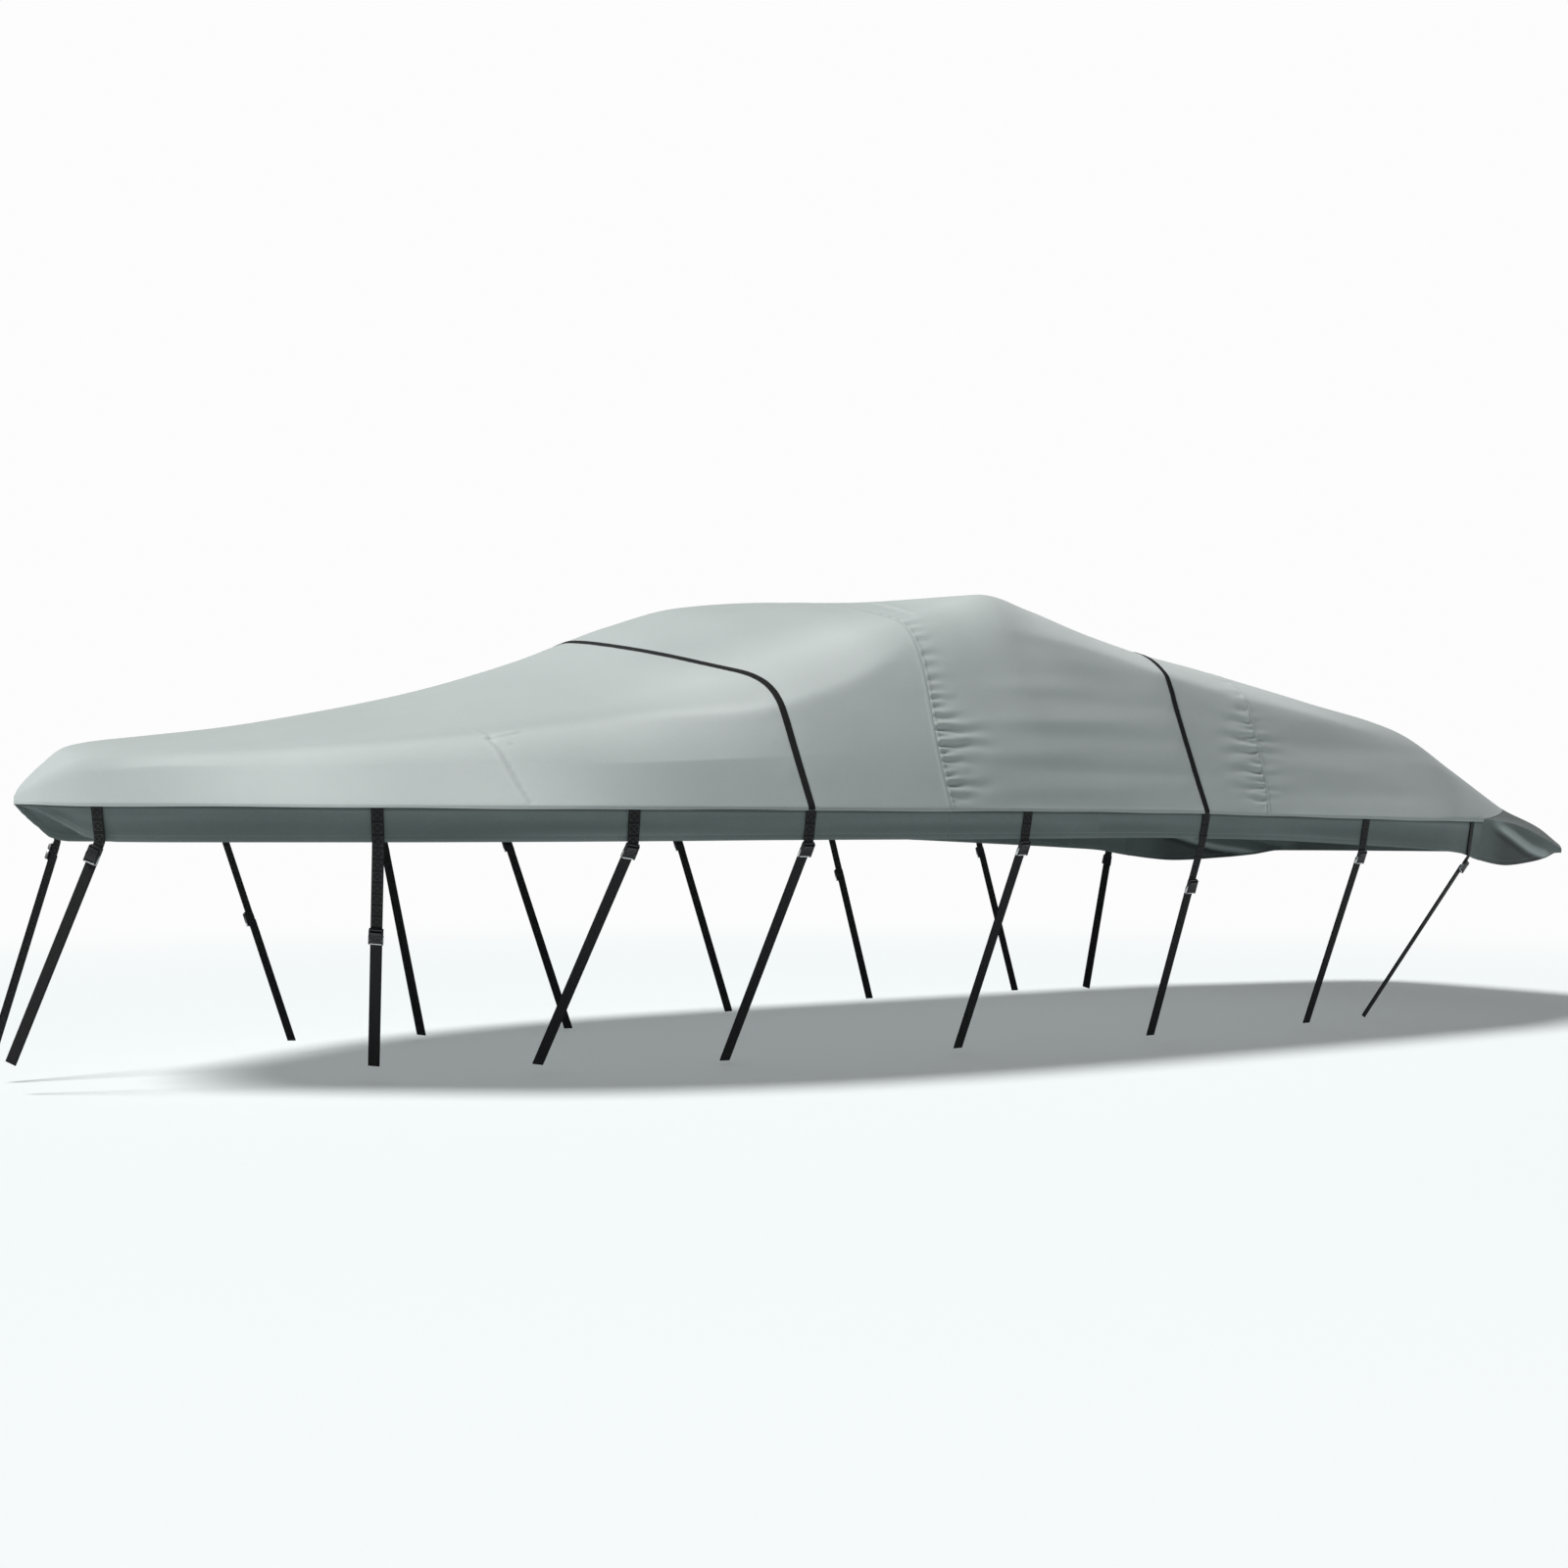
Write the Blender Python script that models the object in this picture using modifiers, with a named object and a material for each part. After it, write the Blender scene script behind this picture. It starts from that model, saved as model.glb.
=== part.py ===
"""A fitted boat cover, 7 m long, in the shape it takes up in use.

The bow points to -X, the stern to +X and the port side to -Y.  The origin is the
point under the top cloth where something solid carries the cover.  All heights in
the tables are measured up from the hem line amidships.
"""
import math
from collections import namedtuple

import bmesh
import bpy
import numpy as np
from mathutils import Vector

# ---- driving sizes, in metres ----
CLOTH = 0.003                 # coated polyester with its turned seams
SKIRT_CLOTH = 0.0025
LAP = 0.012                   # the panel's edge hangs this far over the skirt
PIECE_GAP = 0.0006            # between two pieces that touch
BUTT_GAP = 0.0008             # between two panels at a seam
CAP_GAP, CAP_DROP = 0.002, 0.0015    # before and above the cap, whose seam runs aslant
TOP_HEIGHT = 0.945            # cloth's outer face above the hem line, at the origin
HEM_LEVEL = CLOTH - TOP_HEIGHT

WEBBING = 0.038               # width of the tie-down straps
WEBBING_THICK = 0.0022
OVER_WEBBING = 0.025          # width of the two straps over the top
OVER_STEPS = 26               # cuts from the seam to the crown

# ---- the form: one row for each cross-section, from the bow to the stern ----
# half_beam, hem and seam place the sides, shoulder_y and shoulder_z the edge of the
# top, and crown its middle.  sweep carries the middle of a section aft of its sides;
# corner is how much of the side is taken up by the round at the shoulder; steps are
# the cuts up to the next row.
Section = namedtuple("Section", "x half_beam hem seam shoulder_y shoulder_z crown sweep corner steps")
FORM = [
    Section(-2.932, 0.000, 0.100, 0.115, 0.000, 0.123, 0.129, 0.00, 0.40, 1),
    Section(-2.900, 0.150, 0.078, 0.112, 0.115, 0.157, 0.175, 0.00, 0.40, 1),
    Section(-2.840, 0.250, 0.034, 0.108, 0.195, 0.204, 0.240, 0.00, 0.40, 1),
    Section(-2.780, 0.325, -0.006, 0.106, 0.255, 0.233, 0.290, 0.00, 0.40, 1),
    Section(-2.700, 0.400, -0.019, 0.105, 0.310, 0.248, 0.311, 0.00, 0.40, 1),
    Section(-2.550, 0.520, -0.020, 0.104, 0.415, 0.258, 0.331, 0.00, 0.38, 1),
    Section(-2.300, 0.700, -0.020, 0.101, 0.575, 0.270, 0.366, 0.00, 0.38, 2),
    Section(-2.000, 0.900, -0.020, 0.098, 0.770, 0.290, 0.425, 0.00, 0.38, 2),
    Section(-1.600, 1.075, -0.019, 0.097, 0.890, 0.332, 0.518, 0.00, 0.42, 2),
    Section(-1.200, 1.190, -0.017, 0.096, 0.955, 0.390, 0.645, 0.00, 0.46, 3),
    Section(-0.800, 1.250, -0.014, 0.096, 0.985, 0.480, 0.805, 0.00, 0.46, 3),
    Section(-0.500, 1.275, -0.013, 0.096, 0.978, 0.585, 0.896, 0.00, 0.42, 3),
    Section(-0.130, 1.295, -0.012, 0.097, 0.965, 0.720, 0.939, 0.00, 0.36, 3),
    Section(0.150, 1.300, -0.010, 0.098, 0.955, 0.828, 0.950, 0.00, 0.30, 2),
    Section(0.370, 1.300, -0.009, 0.098, 0.950, 0.910, 0.957, 0.00, 0.26, 2),
    Section(0.550, 1.300, -0.008, 0.098, 0.975, 0.857, 0.937, 0.00, 0.26, 2),
    Section(0.800, 1.300, -0.007, 0.098, 1.015, 0.769, 0.895, 0.00, 0.28, 2),
    Section(1.080, 1.298, -0.010, 0.096, 1.050, 0.696, 0.842, 0.00, 0.30, 2),
    Section(1.405, 1.295, -0.015, 0.089, 1.052, 0.649, 0.777, 0.00, 0.32, 3),
    Section(2.000, 1.280, -0.038, 0.081, 1.040, 0.545, 0.668, 0.03, 0.34, 2),
    Section(2.480, 1.245, -0.060, 0.075, 1.010, 0.463, 0.558, 0.10, 0.36, 2),
    Section(2.720, 1.190, -0.075, 0.074, 0.965, 0.312, 0.395, 0.28, 0.38, 2),
    Section(2.900, 1.140, -0.105, 0.073, 0.935, 0.128, 0.178, 0.58, 0.40, 2),
    Section(3.180, 1.075, -0.132, 0.055, 0.920, 0.082, 0.124, 0.46, 0.42, 2),
    Section(3.470, 1.000, -0.118, 0.005, 0.870, 0.045, 0.078, 0.32, 0.42, 2),
    Section(3.780, 0.900, -0.088, -0.058, 0.800, -0.026, -0.010, 0.20, 0.42, 0),
]
BOW_SEAM, STERN_SEAM, CAP_SEAM = 12, 18, 22        # rows where panels meet
SKIRT_SEAM = 15                                    # and a joint in the skirt alone
FINE_RIB = 8, 10, 14          # faces up the side, round the shoulder and over the top
BOW_SIDE, MIDDLE_SIDE, STERN_SIDE, CAP_SIDE = 3, 12, 4, 4   # faces up each side
CORNER_ROWS, TOP_ROWS, SKIRT_ROWS = 4, 4, 2
NUDGE = 0.02                  # step for slopes taken from two points
TOP_POWER = 1.55              # how the top falls from the crown to the shoulder
TOP_START = 0.86              # the round ends at this share of the shoulder's y
SWEEP_POWER = 6
LAP_TOP = 0.002               # the skirt ends this far under the fold of the panel
HEM_TUCK = 0.022              # the drawn hem lies further in than the seam
TUCK_BEAM = 0.3               # where the cover is narrower, the hem is drawn in less
HEM_LIFT = 0.004              # the webbing turns this far under the hem
LIP_OUT = 0.008               # the turned edge of the stern cap


def ease(stations, values, at):
    """A smooth curve through values that never overshoots them."""
    stations, values = np.asarray(stations, float), np.asarray(values, float)
    step, rise = np.diff(stations), np.diff(values)
    slope = rise / step
    tangent = np.zeros_like(values)
    tangent[0], tangent[-1] = slope[0], slope[-1]
    for i in range(1, len(values) - 1):
        if slope[i - 1] * slope[i] > 0:
            tangent[i] = 2.0 * slope[i - 1] * slope[i] / (slope[i - 1] + slope[i])
    i = int(np.clip(np.searchsorted(stations, at) - 1, 0, len(step) - 1))
    t = (at - stations[i]) / step[i]
    return (
        (2 * t**3 - 3 * t**2 + 1) * values[i]
        + (t**3 - 2 * t**2 + t) * step[i] * tangent[i]
        + (3 * t**2 - 2 * t**3) * values[i + 1]
        + (t**3 - t**2) * step[i] * tangent[i + 1]
    )


def section(at):
    """The cross-section at a row number, which may lie between two rows."""
    rows = range(len(FORM))
    return Section(*(ease(rows, [getattr(r, name) for r in FORM], at) for name in Section._fields))


def row_at(x):
    """The row number whose sides are at x."""
    low, high = 0.0, len(FORM) - 1.0
    for _ in range(40):
        middle = (low + high) / 2
        if section(middle).x < x:
            low = middle
        else:
            high = middle
    return (low + high) / 2


def rib(s, side, corner, top):
    """One half of a section from the seam to the crown, as (y, z) points."""
    seam, shoulder = Vector((s.half_beam, s.seam)), Vector((s.shoulder_y, s.shoulder_z))

    def over(y):
        reach = max(s.shoulder_y, 1e-6)
        return Vector((y, s.crown - (s.crown - s.shoulder_z) * (y / reach) ** TOP_POWER))

    low = shoulder.lerp(seam, s.corner)
    high = over(s.shoulder_y * TOP_START)
    points = [seam.lerp(low, i / side) for i in range(side)]
    for i in range(corner):
        t = i / corner
        points.append(low * (1 - t) ** 2 + shoulder * 2 * t * (1 - t) + high * t**2)
    points += [over(high.x * (1 - i / top)) for i in range(top + 1)]
    return points


def place(s, y, z):
    """A point of a section, set into the object's frame."""
    reach = max(s.half_beam, 1e-6)
    return Vector((s.x + s.sweep * (1 - min(1.0, abs(y) / reach) ** SWEEP_POWER), y, z + HEM_LEVEL))


def both_sides(half):
    """A whole section from port to starboard, out of its starboard half."""
    return [Vector((-p.x, p.y)) for p in half] + [p.copy() for p in reversed(half[:-1])]


def station_list(first, last):
    """The row numbers of the stations between two rows, both included."""
    stations = []
    for row in range(first, last):
        stations += [row + i / FORM[row].steps for i in range(FORM[row].steps)]
    return stations + [float(last)]


# ---- gathers along the two cross seams: height up the side, reach, depth ----
Gather = namedtuple("Gather", "height reach depth")
BOW_GATHERS = [
    Gather(0.16, 0.10, 0.006), Gather(0.22, 0.17, 0.010), Gather(0.29, 0.11, 0.007),
    Gather(0.35, 0.15, 0.010), Gather(0.42, 0.16, 0.009), Gather(0.50, 0.09, 0.005),
    Gather(0.57, 0.10, 0.006),
]
STERN_GATHERS = [
    Gather(0.14, 0.10, 0.007), Gather(0.20, 0.14, 0.009), Gather(0.26, 0.09, 0.006),
    Gather(0.33, 0.13, 0.009), Gather(0.40, 0.10, 0.006), Gather(0.47, 0.08, 0.005),
]
GATHER_WIDTH = 0.020


def gathered(z, away, gathers):
    """How far the cloth is drawn in at this height and distance from a seam."""
    depth = 0.0
    for fold in gathers:
        across = math.exp(-(((z - fold.height) / GATHER_WIDTH) ** 2))
        along = max(0.0, 1.0 - away / fold.reach)
        depth += fold.depth * across * along**0.7
    return depth


def panel_points(first, last, side, gap):
    """Rows of points of a light panel, with its overlapping edge at both ends."""
    stations = station_list(first, last)
    rows = []
    for at in stations:
        s = section(at)
        half = rib(s, side, CORNER_ROWS, TOP_ROWS)
        ring = both_sides([Vector((s.half_beam, s.seam - LAP))] + half)
        shift = (at == first) * gap[0] - (at == last) * gap[1]
        points = []
        for p in ring:
            inward = gathered(p.y, abs(s.x - FORM[BOW_SEAM].x), BOW_GATHERS) * (first >= BOW_SEAM)
            inward += gathered(p.y, abs(s.x - FORM[STERN_SEAM].x), STERN_GATHERS) * (first == BOW_SEAM)
            y = p.x - math.copysign(inward, p.x) if p.x else 0.0
            point = place(s, y, p.y)
            point.x += shift
            points.append(point)
        rows.append(points)
    return rows


def outline(at, inset):
    """A point (x, y) of the port side's plan, set in square to it by inset."""
    before, after = section(max(at - NUDGE, 0.0)), section(min(at + NUDGE, len(FORM) - 1.0))
    here = section(at)
    along = Vector((after.x - before.x, after.half_beam - before.half_beam)).normalized()
    if here.half_beam < 1e-6:
        along = Vector((0.0, 1.0))
    return Vector((here.x + along.y * inset, -here.half_beam + along.x * inset))


def skirt_column(at, side, shift=0.0):
    """One upright run of the skirt's outer face, from the hem to under the lap."""
    s = section(at)
    inset = CLOTH + PIECE_GAP
    points = []
    for i in range(SKIRT_ROWS + 1):
        up = i / SKIRT_ROWS
        x, y = outline(at, inset + HEM_TUCK * (1 - up) * min(1.0, s.half_beam / TUCK_BEAM))
        z = s.hem + (s.seam - LAP_TOP - s.hem) * up
        points.append(Vector((x + shift, side * min(y, 0.0), z + HEM_LEVEL)))
    return points


def skirt_side(first, last, side, gap):
    """Columns of the skirt along one side between two rows of the form."""
    stations = station_list(first, last)
    return [
        skirt_column(at, side, (at == first) * gap[0] - (at == last) * gap[1])
        for at in stations
    ]


def cap_points():
    """The dark end over the swim platform, from hem to hem, closed by a lip."""
    rows = []
    for at in station_list(CAP_SEAM, len(FORM) - 1):
        s = section(at)
        half = rib(s, CAP_SIDE, CORNER_ROWS, TOP_ROWS)
        ring = both_sides(half)
        port = skirt_column(at, 1.0)[:-1]
        starboard = skirt_column(at, -1.0)[:-1]
        points = port + [place(s, p.x, p.y) for p in ring] + starboard[::-1]
        if at == CAP_SEAM:
            for p in points:
                p.x += CAP_GAP
                p.z -= CAP_DROP
        rows.append(points)
    end = rows[-1]
    low = end[0].z
    rows.append([Vector((p.x + LIP_OUT * (i not in (0, len(end) - 1)), p.y, low)) for i, p in enumerate(end)])
    return rows


# ---- building tools ----
def material(name, colour, roughness, metallic=0.0):
    finish = bpy.data.materials.new(name)
    finish.use_nodes = True
    shader = finish.node_tree.nodes["Principled BSDF"]
    shader.inputs["Base Color"].default_value = (*colour, 1.0)
    shader.inputs["Roughness"].default_value = roughness
    shader.inputs["Metallic"].default_value = metallic
    return finish


def new_object(name, mesh, collection, finish):
    obj = bpy.data.objects.new(name, mesh)
    collection.objects.link(obj)
    mesh.materials.append(finish)
    return obj


def grid_mesh(name, rows):
    """An open surface through rows of points, facing out from the keel line."""
    across, along = len(rows[0]), len(rows)
    bm = bmesh.new()
    bmesh.ops.create_grid(bm, x_segments=across - 1, y_segments=along - 1, size=0.5)
    bm.verts.ensure_lookup_table()
    for index, vert in enumerate(bm.verts):
        vert.co = rows[index // across][index % across]
    bmesh.ops.remove_doubles(bm, verts=bm.verts, dist=0.00005)
    bm.normal_update()
    facing = 0.0
    for face in bm.faces:
        middle = face.calc_center_median()
        facing += face.calc_area() * face.normal.dot((0.0, middle.y, middle.z - HEM_LEVEL))
    if facing < 0:
        bmesh.ops.reverse_faces(bm, faces=bm.faces)
    mesh = bpy.data.meshes.new(name)
    bm.to_mesh(mesh)
    bm.free()
    return mesh


def cloth(name, rows, collection, finish, thickness, inward=-1.0):
    """A sheet of cloth whose outer face runs through the rows of points."""
    obj = new_object(name, grid_mesh(name, rows), collection, finish)
    wall = obj.modifiers.new("thickness", "SOLIDIFY")
    wall.thickness = thickness
    wall.offset = inward
    wall.use_even_offset = True
    obj.data.shade_smooth()
    return obj


# ---- straps ----
# x is where a strap leaves the skirt; foot_* is where it turns back; drop is how far
# below the hem its buckle sits, along the strap.
TieDown = namedtuple("TieDown", "name x foot_x foot_y foot_z drop")
TIE_DOWNS = [
    TieDown("bow", -2.750, -2.960, 0.17, -0.71, 0.045),
    TieDown("1", -2.030, -1.882, 0.45, -0.76, 0.340),
    TieDown("2", -1.287, -1.336, 0.55, -0.78, 0.030),
    TieDown("3", -0.680, -0.655, 0.65, -0.80, 0.030),
    TieDown("4", 0.208, 0.235, 0.85, -0.79, 0.030),
    TieDown("5", 1.076, 1.090, 0.97, -0.78, 0.190),
    TieDown("6", 1.988, 1.978, 0.96, -0.78, 0.045),
    TieDown("stern", 2.790, 2.400, 0.90, -0.78, 0.045),
]
STRAP_TURN = 0.0018           # half the distance between the two layers of a strap
TURN_STEPS = 4                # cuts round the foot, where the strap turns back
BUCKLE = (0.046, 0.060, 0.012)
BUCKLE_GAP = 0.006            # between the upper webbing and the strap behind a buckle
BUCKLE_EDGE = 0.002
BUCKLE_CLEAR = 0.0004         # under the buckle
LEVER_INSET, LEVER_RISE = 0.008, 0.004


def ribbon(name, path, across, flip, collection, finish):
    """A flat strap along a path; across holds its width's direction at each point."""
    rows = [
        [(point - side * WEBBING / 2) * flip, (point + side * WEBBING / 2) * flip]
        for point, side in zip(path, across)
    ]
    return cloth(name, rows, collection, finish, WEBBING_THICK, 0.0)


def tie_down(tie, side, collection, webbing, plastic):
    """Upper webbing, buckle and doubled strap of one tie-down."""
    where = "port" if side > 0 else "starboard"
    at = row_at(tie.x)
    s = section(at)
    lift = CLOTH - WEBBING_THICK / 2 - PIECE_GAP
    x, y = outline(at, lift)
    ahead, behind = outline(at + NUDGE, lift), outline(at - NUDGE, lift)
    along = Vector((ahead.x - behind.x, ahead.y - behind.y, 0.0)).normalized()
    top = Vector((x, y, s.seam - LAP - PIECE_GAP + HEM_LEVEL))
    hem_x, hem_y = outline(at, lift + HEM_TUCK * min(1.0, s.half_beam / TUCK_BEAM))
    hem = Vector((hem_x, hem_y, s.hem - HEM_LIFT + HEM_LEVEL))
    foot = Vector((tie.foot_x, -tie.foot_y, tie.foot_z + HEM_LEVEL))
    down = (foot - hem).normalized()
    joint = hem + down * tie.drop
    lean = (along - down * along.dot(down)).normalized()
    out = down.cross(lean)
    upper = [top, hem, joint - down * BUCKLE_GAP / 2]
    start = joint + down * BUCKLE_GAP / 2
    behind_foot = [
        foot - out * STRAP_TURN + (down * math.sin(a) + out * math.cos(a)) * STRAP_TURN
        for a in (math.pi * i / TURN_STEPS for i in range(TURN_STEPS + 1))
    ]
    strap = [start] + behind_foot + [start - out * 2 * STRAP_TURN]
    flip = Vector((1.0, side, 1.0))
    turning = [along, (along + lean).normalized(), lean]
    ribbon(f"strap_{where}_{tie.name}_upper", upper, turning, flip, collection, webbing)
    ribbon(f"strap_{where}_{tie.name}", strap, [lean] * len(strap), flip, collection, webbing)
    buckle(f"buckle_{where}_{tie.name}", joint, lean, down, out, flip, collection, plastic)


def buckle(name, joint, lean, down, out, flip, collection, finish):
    """A cam buckle: a bevelled body with a raised lever, on the face of the strap."""
    bm = bmesh.new()
    bmesh.ops.create_cube(bm, size=1.0)
    bmesh.ops.scale(bm, vec=BUCKLE, verts=bm.verts)
    face = max(bm.faces, key=lambda f: f.calc_center_median().z)
    bmesh.ops.inset_individual(bm, faces=[face], thickness=LEVER_INSET)
    bmesh.ops.translate(bm, verts=face.verts, vec=(0.0, 0.0, LEVER_RISE))
    lift = WEBBING_THICK / 2 + BUCKLE_CLEAR + BUCKLE[2] / 2
    for vert in bm.verts:
        local = vert.co
        placed = joint + lean * local.x + down * local.y + out * (local.z + lift)
        vert.co = placed * flip
    if bm.calc_volume(signed=True) < 0:
        bmesh.ops.reverse_faces(bm, faces=bm.faces)
    mesh = bpy.data.meshes.new(name)
    bm.to_mesh(mesh)
    bm.free()
    obj = new_object(name, mesh, collection, finish)
    edge = obj.modifiers.new("edges", "BEVEL")
    edge.width = BUCKLE_EDGE
    edge.segments = 1
    return obj


# x is where the strap leaves the seam; it leans aft up to the shoulder, at reach, and
# lies forward of there at the middle; lift is its height over the smooth form, so
# that it clears the facets
OverStrap = namedtuple("OverStrap", "name x lean forward reach lift")
OVER_STRAPS = [
    OverStrap("over_strap_front", -0.680, 0.030, 0.330, 0.95, 0.0018),
    OverStrap("over_strap_rear", 1.076, 0.0, -0.020, 1.05, 0.0024),
]


def on_top(x, fraction):
    """A point of the top at x; fraction runs from 0 at the seam to 1 at the crown."""
    s = section(row_at(x))
    points = rib(s, *FINE_RIB)
    lengths = [0.0]
    for a, b in zip(points, points[1:]):
        lengths.append(lengths[-1] + (b - a).length)
    goal = fraction * lengths[-1]
    i = next(i for i in range(1, len(points)) if lengths[i] >= goal - 1e-9)
    t = (goal - lengths[i - 1]) / (lengths[i] - lengths[i - 1])
    p = points[i - 1].lerp(points[i], t)
    return Vector((x, -p.x, p.y + HEM_LEVEL))


def over_strap(strap, collection, finish):
    """A strap that runs over the top from seam to seam, on the face of the cloth."""
    beam = section(row_at(strap.x)).half_beam
    rows = []
    for i in range(OVER_STEPS + 1):
        fraction = i / OVER_STEPS
        y = on_top(strap.x, fraction).y
        up = min(1.0, (beam + y) / (beam - strap.reach))
        x = strap.x + strap.lean * up - strap.forward * max(0.0, 1 - (y / strap.reach) ** 2)
        pair = []
        for side in (-0.5, 0.5):
            edge_x = x + side * OVER_WEBBING
            point = on_top(edge_x, fraction)
            low, high = max(fraction - NUDGE, 0.0), min(fraction + NUDGE, 1.0)
            slope_up = on_top(edge_x, high) - on_top(edge_x, low)
            slope_aft = on_top(edge_x + NUDGE, fraction) - on_top(edge_x - NUDGE, fraction)
            normal = slope_aft.cross(slope_up).normalized()
            if fraction == 1.0:
                normal = Vector((normal.x, 0.0, normal.z)).normalized()
            pair.append(point + normal * strap.lift)
        rows.append(pair)
    low = section(row_at(strap.x)).seam - LAP + HEM_LEVEL
    foot = [Vector((p.x, -beam - strap.lift, low)) for p in rows[0]]
    rows.insert(0, foot)
    starboard = [[p * Vector((1.0, -1.0, 1.0)) for p in pair] for pair in rows[-2::-1]]
    return cloth(strap.name, rows + starboard, collection, finish, WEBBING_THICK, 1.0)


def main():
    for obj in list(bpy.data.objects):
        bpy.data.objects.remove(obj)
    collection = bpy.data.collections.new("boat_cover")
    bpy.context.scene.collection.children.link(collection)
    light = material("light_grey_cloth", (0.46, 0.50, 0.49), 0.85)
    dark = material("dark_grey_cloth", (0.07, 0.09, 0.088), 0.85)
    webbing = material("black_webbing", (0.012, 0.012, 0.013), 0.7)
    plastic = material("black_nylon", (0.02, 0.02, 0.022), 0.4)

    gap = BUTT_GAP / 2
    panels = [
        ("panel_bow", 0, BOW_SEAM, BOW_SIDE, (0, gap)),
        ("panel_middle", BOW_SEAM, STERN_SEAM, MIDDLE_SIDE, (gap, gap)),
        ("panel_stern", STERN_SEAM, CAP_SEAM, STERN_SIDE, (gap, gap)),
    ]
    for name, first, last, side_rows, gaps in panels:
        cloth(name, panel_points(first, last, side_rows, gaps), collection, light, CLOTH)

    port = skirt_side(0, BOW_SEAM, 1.0, (0, gap))
    starboard = skirt_side(0, BOW_SEAM, -1.0, (0, gap))
    cloth("skirt_bow", port[:0:-1] + starboard, collection, dark, SKIRT_CLOTH)
    for name, side in (("port", 1.0), ("starboard", -1.0)):
        middle = skirt_side(BOW_SEAM, SKIRT_SEAM, side, (gap, gap))
        aft = skirt_side(SKIRT_SEAM, CAP_SEAM, side, (gap, gap))
        cloth(f"skirt_{name}_middle", middle, collection, dark, SKIRT_CLOTH)
        cloth(f"skirt_{name}_aft", aft, collection, dark, SKIRT_CLOTH)
    cloth("stern_cap", cap_points(), collection, dark, SKIRT_CLOTH)

    for strap in OVER_STRAPS:
        over_strap(strap, collection, webbing)
    for tie in TIE_DOWNS:
        for side in (1.0, -1.0):
            tie_down(tie, side, collection, webbing, plastic)


main()
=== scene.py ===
"""Looks of a fitted boat cover: two-tone coated cloth, black webbing and cam buckles.

The bow points to -X, the stern to +X and the port side to -Y, in metres.
"""

import math

import bpy
import numpy as np
from mathutils import Matrix, Vector


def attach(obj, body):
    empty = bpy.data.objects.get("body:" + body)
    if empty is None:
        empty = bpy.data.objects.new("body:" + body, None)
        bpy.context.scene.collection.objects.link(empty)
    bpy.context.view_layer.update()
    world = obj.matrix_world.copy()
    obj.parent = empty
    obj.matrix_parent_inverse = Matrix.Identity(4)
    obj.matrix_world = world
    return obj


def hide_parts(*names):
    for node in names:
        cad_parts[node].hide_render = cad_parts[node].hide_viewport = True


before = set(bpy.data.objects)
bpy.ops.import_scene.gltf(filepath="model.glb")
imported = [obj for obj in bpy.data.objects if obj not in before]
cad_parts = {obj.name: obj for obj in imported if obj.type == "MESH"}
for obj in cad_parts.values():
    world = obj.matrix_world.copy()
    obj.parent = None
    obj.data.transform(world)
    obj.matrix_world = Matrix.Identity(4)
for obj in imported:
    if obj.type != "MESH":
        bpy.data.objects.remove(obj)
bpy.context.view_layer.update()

# ---- sizes shared with the solids ----
CLOTH = 0.003
LAP = 0.012
PIECE_GAP = 0.0006
BUTT_GAP = 0.0008
HEM_LEVEL = -0.942
WEBBING, WEBBING_THICK = 0.038, 0.0022
OVER_WEBBING = 0.025
HEM_TUCK, TUCK_BEAM = 0.022, 0.3
LAP_TOP = 0.002
TOP_POWER, TOP_START, SWEEP_POWER = 1.55, 0.86, 6
BOW_SEAM, SKIRT_SEAM, STERN_SEAM, CAP_SEAM = 12, 15, 18, 22
X, BEAM, HEM, SEAM, SHOULDER_Y, SHOULDER_Z, CROWN, SWEEP, CORNER = range(9)
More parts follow.
